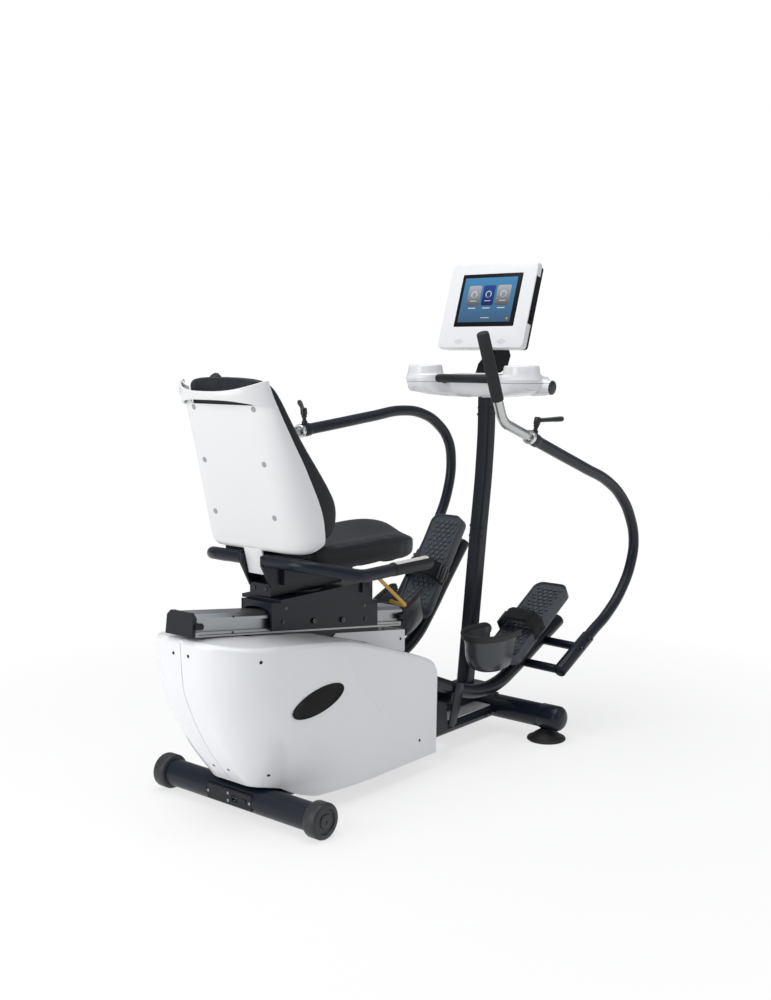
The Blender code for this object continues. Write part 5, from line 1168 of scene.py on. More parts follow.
for word, side in SIDES.items():
    shift = Vector((0, side * ARM_Y, 0))
    end, top = ARM_END + shift, TOP + shift
    corner = end + ALONG_ARM * ((ARM_END.x - CORNER.x) / abs(ALONG_ARM.x))
    route = rounded([end - ALONG_ARM * 0.12, corner, top], 0.065, steps=16)
    tube = pipe(f"handle_bar_{word}", route, 0.016, sides=32)
    soften(tube, 0.0015, 2, angle=60)
    hang(tube, side, f"handle_{word}", "silver", SILVER, f"handle_tube_{word}", sharp=45)

    climb = (top - corner).normalized()
    low = top - climb * ((GRIP_TOP_Z - GRIP_FOOT_Z) / climb.z)
    foam = foam_profile((top - low).length + 0.0033)
    grip = lathe(f"foam_sleeve_{word}", foam, low, climb, steps=32)
    hang(grip, side, f"handle_{word}", "rubber", FOAM, f"handle_grip_{word}", sharp=50)

    ring = lathe(f"clamp_ring_{word}", RING_PROFILE, end - ALONG_ARM * 0.003, ALONG_ARM)
    hang(ring, side, f"{word}_lever", "silver", CHROME, sharp=40)

    foot = end - ALONG_ARM * 0.02 + ARM_UP * 0.0303
    head = foot + ARM_UP * 0.034
    tip = head + Vector((0.64, side * 0.77, 0.06)) * 0.085
    reach = (tip - head).normalized()
    stud = lathe("stud", STUD_PROFILE, foot, ARM_UP, 20)
    hub = lathe("hub", HUB_PROFILE, head - ARM_UP * 0.014, ARM_UP, 24)
    clamp = join(f"clamp_handle_{word}", hub, stud, lathe("grip", LEVER_PROFILE, head, reach, 20))
    body = f"clamp_lever_{word}"
    hang(clamp, side, body, "black_plastic", BLACK_SMOOTH, f"clamp_lever_{word}", sharp=40)
    dot = lathe(f"clamp_dot_{word}", DOT_PROFILE, head + ARM_UP * 0.0092, ARM_UP, 20)
    hang(dot, side, body, "black_plastic", RED, sharp=40)
print("handles are in")

# %% [markdown]
# ## Stabilisers, wheels and pads
#
# The rear stabiliser is a wide tube that ends in the two transport wheels, with a power panel let
# into its back. The front one has two domed caps, each over a rubber pad. All of these are turned
# shapes, so they are spun from their profiles.

# %% Rear stabiliser, wheels and the front stabiliser
REAR_TUBE_Z, FRONT_TUBE_X, FRONT_TUBE_Z = 0.0515, 1.125, 0.08
WHEEL_Y = 0.2883


def with_mirror(half):
    """A profile that is the same at both ends."""
    return half + [(radius, -distance) for radius, distance in reversed(half)]


tube = lathe(
    "rear_tube", with_mirror([(0.0, -0.2875), (0.03, -0.2875), (0.034, -0.2868), (0.04, -0.2855)]),
    (0.0, 0.0, REAR_TUBE_Z), (0, 1, 0), 48,
)
cut(tube, block("room", (-0.06, -0.0833, 0.027), (-0.029, 0.1033, 0.076)))
settle(tube, "base", "dark_paint", DARK_PAINT, "rear_stabiliser", sharp=50)
TYRE_PROFILE = [
    (0.0, 0.01), (0.006, 0.01), (0.007, 0.0), (0.02, 0.001), (0.0215, 0.004), (0.034, 0.004),
    (0.036, 0.0), (0.0455, 0.0), (0.05, 0.003), (0.0515, 0.007), (0.0515, 0.038), (0.05, 0.042),
    (0.0455, 0.045), (0.036, 0.045), (0.034, 0.041), (0.0215, 0.041), (0.02, 0.044), (0.007, 0.045),
    (0.006, 0.04), (0.0, 0.04),
]
for word, side in SIDES.items():
    body = f"transport_wheel_{word}"
    wheel = lathe(f"wheel_tyre_{word}", TYRE_PROFILE, (0.0, side * WHEEL_Y, REAR_TUBE_Z), (0, side, 0), 48)
    settle(wheel, body, "rubber", WHEEL_RUBBER, f"transport_wheel_{word}", sharp=40)
    hub = socket_screw("hub", 0.0075, 0.004)
    place = ((0.0, side * (WHEEL_Y + 0.04), REAR_TUBE_Z), (0, side, 0))
    set_copies(f"wheel_bolt_{word}", hub, [place], body, "steel", DARK_STEEL)
    drop(hub)

CAP_PROFILE = [
    (0.03, -0.06), (0.0415, -0.06), (0.0425, -0.059), (0.0425, 0.0), (0.0418, 0.006),
    (0.0385, 0.013), (0.0325, 0.019), (0.024, 0.0232), (0.013, 0.0254), (0.0, 0.0262),
]
tube_profile = with_mirror([(0.0, -0.302), (0.04, -0.302)])
pieces = [lathe("front_tube", tube_profile, (FRONT_TUBE_X, 0.0, FRONT_TUBE_Z), (0, 1, 0), 48)]
for side in SIDES.values():
    pieces.append(lathe("cap", CAP_PROFILE, (FRONT_TUBE_X, side * 0.362, FRONT_TUBE_Z), (0, side, 0), 48))
front = join("front_tube_with_caps", *pieces)
settle(front, "base", "dark_paint", DARK_PAINT, "front_stabiliser", sharp=50)
for word, side in SIDES.items():
    low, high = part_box(f"foot_pad_{word}")
    profile = [
        (0.0, 0.0), (0.064, 0.0), (0.066, 0.002), (0.066, 0.005), (0.064, 0.008), (0.056, 0.01),
        (0.05, 0.015), (0.04, 0.023), (0.03, 0.029), (0.023, 0.033),
        (0.02, high.z - 0.0005), (0.0, high.z),
    ]
    centre = ((low.x + high.x) / 2 - X0, (low.y + high.y) / 2, 0.0)
    pad = lathe(f"rubber_foot_{word}", profile, centre, steps=48)
    settle(pad, "base", "rubber", RUBBER, f"foot_pad_{word}", sharp=45)
print("the machine stands on", [round(value, 3) for value in high])

# %% [markdown]
# ## Base bolts and power panel
#
# Small fittings: the panel's screws, the inlet's three pins, and the bolts that hold the front
# stabiliser to the base tubes.

# %% Fit the panel and the bolts
bolt = socket_screw("bolt", 0.0042, 0.0018)
spots = ((-0.0755, REAR_TUBE_Z), (0.0955, REAR_TUBE_Z), (0.012, 0.0405), (0.012, 0.0625))
places = [((-0.0403, y, z), (-1, 0, 0)) for y, z in spots]
set_copies("panel_screws", bolt, places, "base", "steel", STEEL)
drop(bolt)
bolt = socket_screw("bolt", 0.0085, 0.006)
places = [((x, side * 0.128, 0.0665), (0.0, side, -0.6)) for side in SIDES.values() for x in (1.04, 1.072)]
places += [((FRONT_TUBE_X, side * 0.11, 0.1195), (0, 0, 1)) for side in SIDES.values()]
set_copies("base_bolts", bolt, places, "base", "steel", DARK_STEEL)
drop(bolt)
pins = []
for y, z in ((-0.006, 0.003), (0.006, 0.003), (0.0, -0.005)):
    low = (-0.0412, -0.015 + y - 0.0022, REAR_TUBE_Z + z - 0.0008)
    high = (-0.0395, -0.015 + y + 0.0022, REAR_TUBE_Z + z + 0.0008)
    pins.append(block("pin", low, high, bevel=0.0004, segments=1))
settle(join("inlet_pins", *pins), "base", "steel", STEEL)
print("the panel and the base are bolted")

# %% [markdown]
# ## Back shell
#
# The backrest is held by one white moulding: a wide dish whose sides curve forward round the cushion,
# a tongue that goes down into the seat frame, and across the top a handle that stands off behind
# an opening. The dish and the handle are grids whose points are moved to their curve and thickened.
# Six grey plugs cover its screws.

# %% The dish, the tongue and the handle
SHELL_WIDTHS = ((0.757, 0.203), (0.8, 0.206), (1.24, 0.1675))
SHELL_SIDE_EDGE = (
    (0.757, 0.082), (0.765, 0.112), (0.786, 0.137), (0.84, 0.133), (0.98, 0.081), (1.082, 0.03),
    (1.196, -0.024), (1.24, -0.04),
)


def shell_rear(z):
    return 0.032 + (0.86 - z) * 0.25


def dish_x(share, z):
    """How far forward the dish stands at a share of its half width: flat, then a long bend."""
    rear, edge = shell_rear(z), between(SHELL_SIDE_EDGE, z)
    bend = max(0.0, (abs(share) - 0.6) / 0.4)
    return rear + (edge - rear) * (1 - math.sqrt(max(0.0, 1 - bend**2.2)))


def dish_half(z):
    """The dish's half width, with its lower corners rounded off."""
    low = max(0.0, (0.797 - z) / 0.04)
    return between(SHELL_WIDTHS, z) - 0.04 * (1 - math.sqrt(max(0.0, 1 - low**2)))


SHELL_FOOT, HANDLE_FOOT = 0.757, 1.172
TONGUE_LOW, TONGUE_HIGH = 0.683, 0.775


def dish_point(across, up):
    wide = math.sin(across * math.pi) * 0.35 + across * 2 * 0.65
    z = SHELL_FOOT + (0.449 + 0.033 * abs(wide) ** 2.6) * (up + 0.5)
    tuck = max(0.0, 1 - (z - SHELL_FOOT) / 0.016)
    forward = 0.02 * (1 - math.sqrt(max(0.0, 1 - tuck**2)))
    return dish_x(wide, z) + forward, wide * dish_half(z), z


def handle_point(across, up):
    share, rise = across * 2, up + 0.5
    low_edge, high_edge = 1.19 - 0.026 * abs(share) ** 3, 1.208 + 0.032 * abs(share) ** 2.6
    z = low_edge + (high_edge - low_edge) * rise
    half = between(SHELL_WIDTHS, z) - 0.001
    bulge = 0.0555 * (1 - abs(share) ** 2.4)
    roll = 0.004 * (1 - math.cos((rise - 0.5) * math.pi))
    return dish_x(share, z) - 0.0015 - bulge + roll, share * half, z


dish = shaped_grid(96, 110, dish_point)
apply_modifier(dish, "SOLIDIFY", thickness=0.004, offset=-1.0, use_even_offset=False)
back_x = shell_rear(HANDLE_FOOT)
cut(dish, block("opening", (back_x - 0.06, -0.128, HANDLE_FOOT), (back_x + 0.03, 0.128, 1.372), bevel=0.012))
low_x, high_x = shell_rear(TONGUE_LOW), shell_rear(TONGUE_HIGH)
outline = [(low_x, TONGUE_LOW), (low_x + 0.008, TONGUE_LOW)]
outline += [(high_x + 0.008, TONGUE_HIGH), (high_x, TONGUE_HIGH)]
tongue = flat_plate("tongue", outline, -0.036, 0.036, bevel=0.002)
handle = shaped_grid(72, 10, handle_point)
apply_modifier(handle, "SOLIDIFY", thickness=0.0065, offset=-1.0, use_even_offset=False)
soften(handle, 0.0022, 3, angle=60)
shell = join("backrest_shell", dish, tongue, handle)
settle(shell, "seat", "white", WHITE_SATIN, "back_shell", sharp=42)
plug = lathe("plug", [(0.0, 0.001), (0.0062, 0.0009), (0.0082, 0.0005), (0.0088, -0.0006)], steps=24)
places = []
for x, z in ((-0.0435, 1.162), (-0.006, 1.011), (0.032, 0.86)):
    for side in SIDES.values():
        places.append(surface_at(shell, (x - 0.4, side * 0.1195, z), (1, 0, 0)))
set_copies("shell_plugs", plug, places, "seat", "grey_plastic", PLUG_GREY)
drop(plug)
print("back shell", len(shell.data.polygons), "faces")

# %% [markdown]
# ## Cushions
#
# The seat and the back are foam under a coated cloth. Each starts as a plain cage of a few rings, which
# is bridged and subdivided. The cage is remeshed into even small cells and filled like a balloon by
# Blender's Cloth, so that it swells between its edges; a cap on each point's travel keeps the real
# size. A row of piping is then laid along the edge where the cover's top and side are sewn.

# %% Swell a cage into a cushion
def with_other_side(points):
    """A ring's right half and its mirror image, as one closed ring."""
    return points + [(x, -y, z) for x, y, z in reversed(points)]


def remesh(piece, voxel, smoothings):
    """Even small cells in place of the piece's faces, smoothed a few times."""
    piece.data.remesh_voxel_size = voxel
    only(piece)
    bpy.ops.object.voxel_remesh()
    apply_modifier(piece, "SMOOTH", factor=0.5, iterations=smoothings)


CLOTH_FRAMES = 20


def swell(cushion, cap, pressure=4.0):
    """Cloth under pressure. No point travels further than the cap."""
    apply_modifier(cushion, "SUBSURF", levels=3, render_levels=3)
    remesh(cushion, 0.0055, 3)
    before = [vertex.co.copy() for vertex in cushion.data.vertices]
    cloth = cushion.modifiers.new("Cloth", "CLOTH")
    cloth.settings.use_pressure = True
    cloth.settings.uniform_pressure_force = pressure
    cloth.settings.effector_weights.gravity = 0.0
    cloth.settings.quality = 4
    cloth.point_cache.frame_end = CLOTH_FRAMES
    scene = bpy.context.scene
    for frame_number in range(1, CLOTH_FRAMES + 1):
        scene.frame_set(frame_number)
    only(cushion)
    bpy.ops.object.modifier_apply(modifier=cloth.name)
    scene.frame_set(1)
    for vertex, start in zip(cushion.data.vertices, before):
        travel = vertex.co - start
        if travel.length > cap:
            vertex.co = start + travel.normalized() * cap
    apply_modifier(cushion, "SMOOTH", factor=0.5, iterations=4)


def piping(name, cushion, spots, radius):
    """A cord of piping on the cushion's surface, through the points nearest to the spots."""
    points = []
    for spot in spots:
        hit, place, normal, _ = cushion.closest_point_on_mesh(Vector(spot))
        if hit:
            points.append(place + normal * radius * 0.25)
    return pipe(name, points, radius, sides=8)


print("a cushion swells for", CLOTH_FRAMES, "frames")

# %% The seat cushion
SEAT_RINGS = (
    # (x, half width, bottom, edge top, middle top)
    (0.1, 0.184, 0.705, 0.752, 0.756), (0.128, 0.201, 0.695, 0.765, 0.762),
    (0.3, 0.203, 0.692, 0.765, 0.762),
    (0.44, 0.203, 0.691, 0.764, 0.77), (0.5, 0.201, 0.69, 0.763, 0.784),
    (0.56, 0.186, 0.69, 0.754, 0.789), (0.61, 0.155, 0.693, 0.743, 0.778),
    (0.643, 0.11, 0.7, 0.733, 0.762),
)
rings = []
for x, half, bottom, edge, centre in SEAT_RINGS:
    tall = edge - bottom
    rings.append(with_other_side([
        (x, 0.5 * half, bottom), (x, 0.93 * half, bottom), (x, half, bottom + 0.14 * tall),
        (x, half, edge - 0.16 * tall), (x, 0.975 * half, edge + 0.001), (x, 0.91 * half, edge + 0.002),
        (x, 0.66 * half, edge - 0.007 + 0.25 * (centre - edge)), (x, 0.26 * half, centre),
    ]))
seat = bridge_rings("seat_pad", rings)
swell(seat, 0.006)
cut(seat, block("pan", (0.1085, -0.1865, 0.6), (0.4565, 0.1865, 0.7256)))
spots = []
outline = [(x, half, edge) for x, half, _, edge, _ in SEAT_RINGS]
for i in range(121):
    along = i / 120 * (len(outline) - 1)
    first = min(int(along), len(outline) - 2)
    share = along - first
    x, half, edge = (a + (b - a) * share for a, b in zip(outline[first], outline[first + 1]))
    spots.append((x, -half * 0.995, edge - 0.006))
front = []
for i in range(1, 30):
    rise = 0.012 * math.cos((i / 15 - 1) * math.pi / 2)
    front.append((0.648, -0.11 + 0.22 * i / 30, 0.7335 + rise))
spots = spots + front + [(x, -y, z) for x, y, z in reversed(spots)]
cord = piping("seat_piping", seat, spots, 0.0013)
settle(cord, "seat", "upholstery", CLOTH, sharp=0)
settle(seat, "seat", "upholstery", CLOTH, "seat_cushion", sharp=75)
print("seat cushion", len(seat.data.polygons), "faces")

# %% The back cushion
BACK_RINGS = (
    # (z, front x, share of the shell's width)
    (0.78, 0.156, 0.94), (0.8, 0.208, 0.985), (0.84, 0.226, 0.99), (0.89, 0.231, 0.99),
    (0.96, 0.188, 0.99), (1.06, 0.109, 0.99), (1.15, 0.056, 0.99), (1.215, 0.021, 0.98),
    (1.254, -0.03, 0.93),
)
rings = []
for z, front_x, share in BACK_RINGS:
    rear = shell_rear(z) + 0.0055
    half = (between(SHELL_WIDTHS, z) - 0.006) * share
    edge = min(between(SHELL_SIDE_EDGE, z) + 0.004, front_x - 0.01)
    deep = edge - rear
    rings.append(with_other_side([
        (rear, 0.5 * half, z), (rear + 0.1 * deep, 0.72 * half, z), (edge - 0.3 * deep, 0.955 * half, z),
        (edge, half, z), (front_x - 0.22 * (front_x - edge), half, z), (front_x, 0.88 * half, z),
        (front_x - 0.006, 0.36 * half, z),
    ]))
back = bridge_rings("back_pad", rings)
swell(back, 0.005)
settle(back, "seat", "upholstery", CLOTH, "back_cushion", sharp=75)
print("back cushion", len(back.data.polygons), "faces")

# %% [markdown]
# ## Tray
#
# The tray is a glossy moulding of two halves. Its whole form is made first: a bowl bridged from
# rings, two cup towers with flared feet, and two cones that wrap the ends of the hidden tube. Joined,
# rounded and smoothed as one, it is then split along its seam, so both halves keep the same flow.

# %% Bridge the bowl
TRAY_HALF = [
    (1.118, 0.0), (1.116, 0.085), (1.098, 0.118), (1.068, 0.145), (1.053, 0.172), (1.047, 0.204),
    (1.055, 0.236), (1.078, 0.259), (1.118, 0.271), (1.176, 0.271), (1.22, 0.25), (1.256, 0.2),
    (1.276, 0.11), (1.278, 0.0),
]


def smooth_loop(points, steps):
    """A closed smooth line through the points."""
    loop = []
    for i in range(len(points)):
        spots = [Vector((*points[(i + j) % len(points)], 0.0)) for j in (-1, 0, 1, 2)]
        before, first, second, after = spots
        for step in range(steps):
            at = step / steps
            squared = (2 * before - 5 * first + 4 * second - after) * at ** 2
            cubed = (3 * first - before - 3 * second + after) * at ** 3
            loop.append(0.5 * (2 * first + (second - before) * at + squared + cubed))
    return loop


TRAY_LOOP = smooth_loop(TRAY_HALF + [(x, -y) for x, y in TRAY_HALF[-2:0:-1]], 5)
LENGTHWAYS = [(0.0, 0.45), (0.0035, 0.65), (0.013, 0.84), (0.026, 0.95), (0.04, 0.99), (0.053, 1.0)]
SIDEWAYS = [(0.0, 0.16), (0.0035, 0.52), (0.013, 0.81), (0.026, 0.95), (0.04, 0.99), (0.053, 1.0)]


TRAY_X, TRAY_FOOT = 1.2, 1.157
CUP_X, CUP_Y = 1.115, 0.204


def tray_ring(along, across, z, drop=0.0):
    """The outline drawn in about the tray's middle. The drop lowers it towards the two ends."""
    ring = []
    for spot in TRAY_LOOP:
        fall = drop * between([(0.215, 0.0), (0.285, 1.0)], abs(spot.y))
        ring.append((TRAY_X + (spot.x - TRAY_X) * along, spot.y * across, z - fall))
    return ring


rings = []
for height in (0.0, 0.0012, 0.0035, 0.008, 0.013, 0.02, 0.028, 0.037, 0.046, 0.053):
    along, across = between(LENGTHWAYS, height), between(SIDEWAYS, height)
    rings.append(tray_ring(along, across, TRAY_FOOT + height))
rings += [tray_ring(1.0, 1.0, 1.216, 0.004), tray_ring(0.998, 0.998, 1.2265, 0.013)]
rings += [tray_ring(0.985, 0.992, 1.2335, 0.019), tray_ring(0.96, 0.98, 1.236, 0.021)]
bowl = bridge_rings("bowl", rings)
print("the bowl has", len(rings), "rings")

# %% Add towers and cones, cut the wells, and round it all
TOWER_PROFILE = [
    (0.0, 0.0), (0.058, 0.0), (0.07, 0.018), (0.0665, 0.026), (0.0632, 0.038), (0.0605, 0.056),
    (0.059, 0.0635), (0.0565, 0.066), (0.0, 0.066),
]
CONE_PROFILE = [
    (0.0, 0.0), (0.034, 0.0), (0.034, 0.03), (0.0315, 0.055), (0.0275, 0.078), (0.025, 0.094),
    (0.0243, 0.102), (0.0, 0.102),
]
WELL_PROFILE = [(0.0, 0.0), (0.044, 0.0), (0.047, 0.046), (0.052, 0.052), (0.052, 0.06), (0.0, 0.06)]
parts, cutters = [], []
for side in SIDES.values():
    parts.append(lathe("tower", TOWER_PROFILE, (CUP_X, side * CUP_Y, 1.202), steps=64))
    parts.append(lathe("cone", CONE_PROFILE, (1.158, side * 0.196, 1.2015), (0, side, -0.065), steps=48))
for side in SIDES.values():
    cutters.append(lathe("well", WELL_PROFILE, (CUP_X, side * CUP_Y, 1.218), steps=64))
    near, far = sorted((side * 0.064, side * 0.232))
    cutters.append(block("recess", (1.187, near, 1.228), (1.256, far, 1.26), bevel=0.012, segments=4))
for part in parts:
    cut(bowl, part, "UNION")
for cutter in cutters:
    cut(bowl, cutter)
remesh(bowl, 0.0021, 7)
print("the tray's form has", len(bowl.data.polygons), "faces")

# %% Split it along the seam
for name, node, height, above in (
    ("tray_underside", "tray_lower", 1.2092, False), ("tray_top", "tray_upper", 1.2106, True),
):
    half = add_object(name, bowl.data.copy())
    pick(half, "faces")
    bpy.ops.mesh.bisect(
        plane_co=(0, 0, height), plane_no=(0, 0, 1), use_fill=True, clear_inner=above, clear_outer=not above,
    )
    done()
    settle(half, "base", "white", WHITE_GLOSS, node, sharp=40)
    print(name, "has", len(half.data.polygons), "faces")
drop(bowl)
CAP_PROFILE = [
    (0.0, 0.0042), (0.012, 0.004), (0.02, 0.0032), (0.0232, 0.0014), (0.0238, -0.001), (0.0, -0.001),
]
for word, side in SIDES.items():
    place = (1.158, side * 0.2985, 1.1949)
    cap = lathe(f"tray_cap_{word}", CAP_PROFILE, place, (0, side, -0.065), steps=40)
    settle(cap, "base", "black_plastic", BLACK_SMOOTH)

# %% Bend the grip bar
GRIP_PROFILE = [
    (0.0, 0.0), (0.0085, 0.0008), (0.013, 0.004), (0.0145, 0.01), (0.0145, 0.234), (0.013, 0.24),
    (0.0085, 0.2432), (0.0, 0.244),
]
grip = lathe("grip", GRIP_PROFILE, (1.073, -0.122, 1.2225), (0, 1, 0), steps=32)
legs = []
for side in SIDES.values():
    route = [(1.073, side * 0.103, 1.222), (1.09, side * 0.1015, 1.213), (1.112, side * 0.1, 1.2165)]
    legs.append(pipe("leg", rounded(route, 0.014), 0.0095, sides=20))
settle(join("tray_grip", grip, *legs), "base", "black_plastic", BLACK_PLASTIC, "tray_grip_bar")
print("the tray's grip is on")

# %% [markdown]
# ## Console
#
# The console is a white front with rounded corners, a black housing behind it whose side shows
# three small ports, a glass panel, and two patterns of grey dots, painted shade for the speaker holes.
# The picture on the screen is a plain design of its own: a blue field, darker below, with three rounded
# cards.

# %% Box the console
CONSOLE_TILT = math.radians(18.8)
CONSOLE = Matrix.Translation((1.15, 0, 1.328)) @ Matrix.Rotation(CONSOLE_TILT, 4, "Y")


def round_box(y_low, y_high, z_low, z_high, radius):
    """The outline of a box with round corners, as seen from the seat."""
    corners = [(y_low, z_low), (y_high, z_low), (y_high, z_high), (y_low, z_high)]
    route = rounded([(*corner, 0) for corner in corners], radius, steps=8, closed=True)
    return [(spot.x, spot.y) for spot in route]


def slab(name, box, near, far, **rounding):
    """A plate of that outline, from near to far behind the console's face."""
    return flat_plate(name, round_box(*box), near, far, "YZ", **rounding)


def on_console(piece, name, slot, finish, *nodes, sharp=38):
    piece.matrix_world = CONSOLE @ piece.matrix_world
    piece.name = piece.data.name = name
    return settle(piece, "monitor", slot, finish, *nodes, sharp=sharp)


front = slab("front", (-0.18, 0.18, 0.0, 0.311, 0.014), 0.0, 0.0275, bevel=0.0028, segments=4)
opening = slab("opening", (-0.1272, 0.1272, 0.0773, 0.2717, 0.004), -0.01, 0.05)
hollow = slab("hollow", (-0.1772, 0.1772, 0.0884, 0.2616, 0.004), 0.004, 0.05)
notches = []
for i in (0, 1):
    notches.append(block("notch", (0.004, -0.2 + 0.38 * i, 0.0884), (0.05, -0.17 + 0.36 * i, 0.2616)))
for cutter in (opening, hollow, *notches):
    cut(front, cutter)
on_console(front, "console_front", "white", WHITE_GLOSS, "monitor_bezel", sharp=30)
housing = slab("housing", (-0.1768, 0.1768, 0.0888, 0.2612, 0.004), 0.0042, 0.0285, bevel=0.0012)
rear = slab("rear", (-0.174, 0.174, 0.006, 0.305, 0.012), 0.0278, 0.048, bevel=0.004, segments=4)
cut(housing, rear, "UNION")
for z_low, z_high, depth in ((0.105, 0.121, 0.004), (0.131, 0.138, 0.005), (0.16, 0.163, 0.004)):
    cut(housing, block("port", (0.016, -0.19, z_low), (0.0245, -0.1768 + depth, z_high), bevel=0.0012))
for i in range(9):
    step = 0.009 * i
    cut(housing, block("slit", (0.04, -0.1, 0.205 + step), (0.06, 0.1, 0.2085 + step), bevel=0.001))
on_console(housing, "console_housing", "black_plastic", DEEP_BLACK, "monitor_back", sharp=30)
print("the console's case is made")


# %% Draw the screen
def lit(name, low_colour, high_colour, low, high, strength=1.0):
    """A lit film whose colour changes up the console's face."""
    finish = Finish(name, (0.0, 0.0, 0.0), 0.12)
    turned = finish.place(turn=(0.0, -CONSOLE_TILT, 0.0))
    height = finish.add("ShaderNodeSeparateXYZ", output="Z", Vector=turned)
    share = (height - low) * (1.0 / (high - low))
    fine = finish.noise(900.0, 0.0) * 0.04 - 0.02
    colour = finish.blend(low_colour, high_colour, (share + fine).clamped())
    finish.feed(finish.shader.inputs["Emission Color"], colour)
    finish.shader.inputs["Emission Strength"].default_value = strength
    return finish.material


upright = Matrix.Rotation(-CONSOLE_TILT, 4, "Y") @ Matrix.Translation((X0, 0, 0)) @ CONSOLE
foot = (upright @ Vector((0, 0, 0.0945))).z
head = (upright @ Vector((0, 0, 0.258))).z
card_low, card_high = foot + 0.06, foot + 0.135
BLUE_FIELD = lit("screen_blue_field", (0.045, 0.105, 0.195), (0.06, 0.235, 0.45), foot, head)
SLATE_CARD = lit("screen_slate_card", (0.085, 0.08, 0.075), (0.42, 0.44, 0.48), card_low, card_high)
DEEP_CARD = lit("screen_deep_card", (0.006, 0.012, 0.09), (0.015, 0.06, 0.26), card_low, card_high)
PALE_INK = lit("screen_pale_ink", (0.55, 0.62, 0.7), (0.7, 0.76, 0.82), foot, head, 0.9)
AMBER = lit("screen_amber_dot", (0.8, 0.33, 0.03), (0.85, 0.4, 0.05), foot, head)
# Each layer of the picture lies a little nearer to the rider than the one before.
GLASS_FACE, FIELD_FACE, CARD_FACE, DASH_FACE = 0.0012, 0.001, 0.0008, 0.0006
glass = slab("panel", (-0.1268, 0.1268, 0.0777, 0.2713, 0.0035), GLASS_FACE, 0.006, bevel=0.0004)
on_console(glass, "console_glass", "screen_glass", DEEP_BLACK, "monitor_screen", sharp=30)
field = slab("field", (-0.107, 0.1145, 0.0945, 0.258, 0.0015), FIELD_FACE, GLASS_FACE)
on_console(field, "screen_field", "screen_glass", BLUE_FIELD)
RING_PROFILE = [(0.009, 0.0), (0.009, 0.0002), (0.013, 0.0002), (0.013, 0.0)]
CARDS = (
    ("left", 0.037, 0.091, SLATE_CARD), ("middle", -0.022, 0.028, DEEP_CARD),
    ("right", -0.088, -0.031, SLATE_CARD),
)
for word, y_low, y_high, finish in CARDS:
    card = slab("card", (y_low, y_high, 0.155, 0.229, 0.007), CARD_FACE, FIELD_FACE)
    on_console(card, f"screen_card_{word}", "screen_glass", finish)
    centre = (y_low + y_high) / 2
    icon = lathe("icon", RING_PROFILE, (DASH_FACE, centre, 0.196), (1, 0, 0))
    line = slab("line", (centre - 0.016, centre + 0.016, 0.144, 0.1475, 0.0015), CARD_FACE, FIELD_FACE)
    dash = slab("dash", (centre - 0.013, centre + 0.013, 0.171, 0.1735, 0.0012), DASH_FACE, CARD_FACE)
    on_console(join("icon", icon, line, dash), f"screen_ink_{word}", "screen_glass", PALE_INK)
foot_line = slab("foot_line", (-0.018, 0.018, 0.1085, 0.111, 0.0012), CARD_FACE, FIELD_FACE)
on_console(foot_line, "screen_foot_line", "screen_glass", PALE_INK)
dot = bar("dot", (CARD_FACE, -0.093, 0.1065), (FIELD_FACE, -0.093, 0.1065), 0.0034)
on_console(dot, "screen_amber", "screen_glass", AMBER)
print("the screen shows", len(CARDS), "cards")

# %% Paint the speaker holes' shade as grey dots
# Each speaker hole is a grey disc on the console's face: painted shade, and no hole is cut.
for word, side in SIDES.items():
    dots = []
    for row in range(-3, 4):
        count = (9, 7, 5, 1)[abs(row)]
        z = 0.0225 + row * 0.0034
        for i in range(count):
            y = side * 0.09 + (i - (count - 1) / 2) * 0.0046
            dots.append(bar("hole", (-0.0002, y, z), (0.0006, y, z), 0.0011, 10))
    on_console(join("holes", *dots), f"speaker_hole_painted_shade_{word}", "grey_plastic", PLUG_GREY, sharp=0)
print("the console is dressed")

# %% [markdown]
# ## Post
#
# The post is a rounded square tube that leans forward and then bends upright. It is bridged from
# many level rings, so the bend is smooth, and it keeps the joint line between its two lengths.

# %% Bridge the post
JOINT_Z = 0.696
POST_LINE = [(JOINT_Z, 1.163), (0.8, 1.1785), (0.9, 1.1915), (1.077, 1.2045), (1.1495, 1.205)]
FOOT_Z, FOOT_X = 0.1503, 1.0905


def post_middle(z):
    if z > JOINT_Z:
        return between(POST_LINE, z)
    return FOOT_X + (z - FOOT_Z) / (JOINT_Z - FOOT_Z) * (1.163 - FOOT_X)


def post_rings(levels):
    corners = ((-1, -1), (1, -1), (1, 1), (-1, 1))
    rings = []
    for z in levels:
        ring = [(post_middle(z) + 0.025 * a, 0.025 * b, z) for a, b in corners]
        rings.append(rounded(ring, 0.01, steps=8, closed=True))
    return rings


lower = bridge_rings("post_tube_low", post_rings([FOOT_Z, 0.4, 0.6955]))
settle(lower, "base", "dark_paint", DARK_PAINT, "post_lower", sharp=35)
levels = [0.6963 + (1.1563 - 0.6963) * i / 16 for i in range(17)]
upper = bridge_rings("post_tube_high", post_rings(levels))
settle(upper, "base", "dark_paint", DARK_PAINT, "post_upper", sharp=35)
print("the post has", len(levels), "rings above its joint")

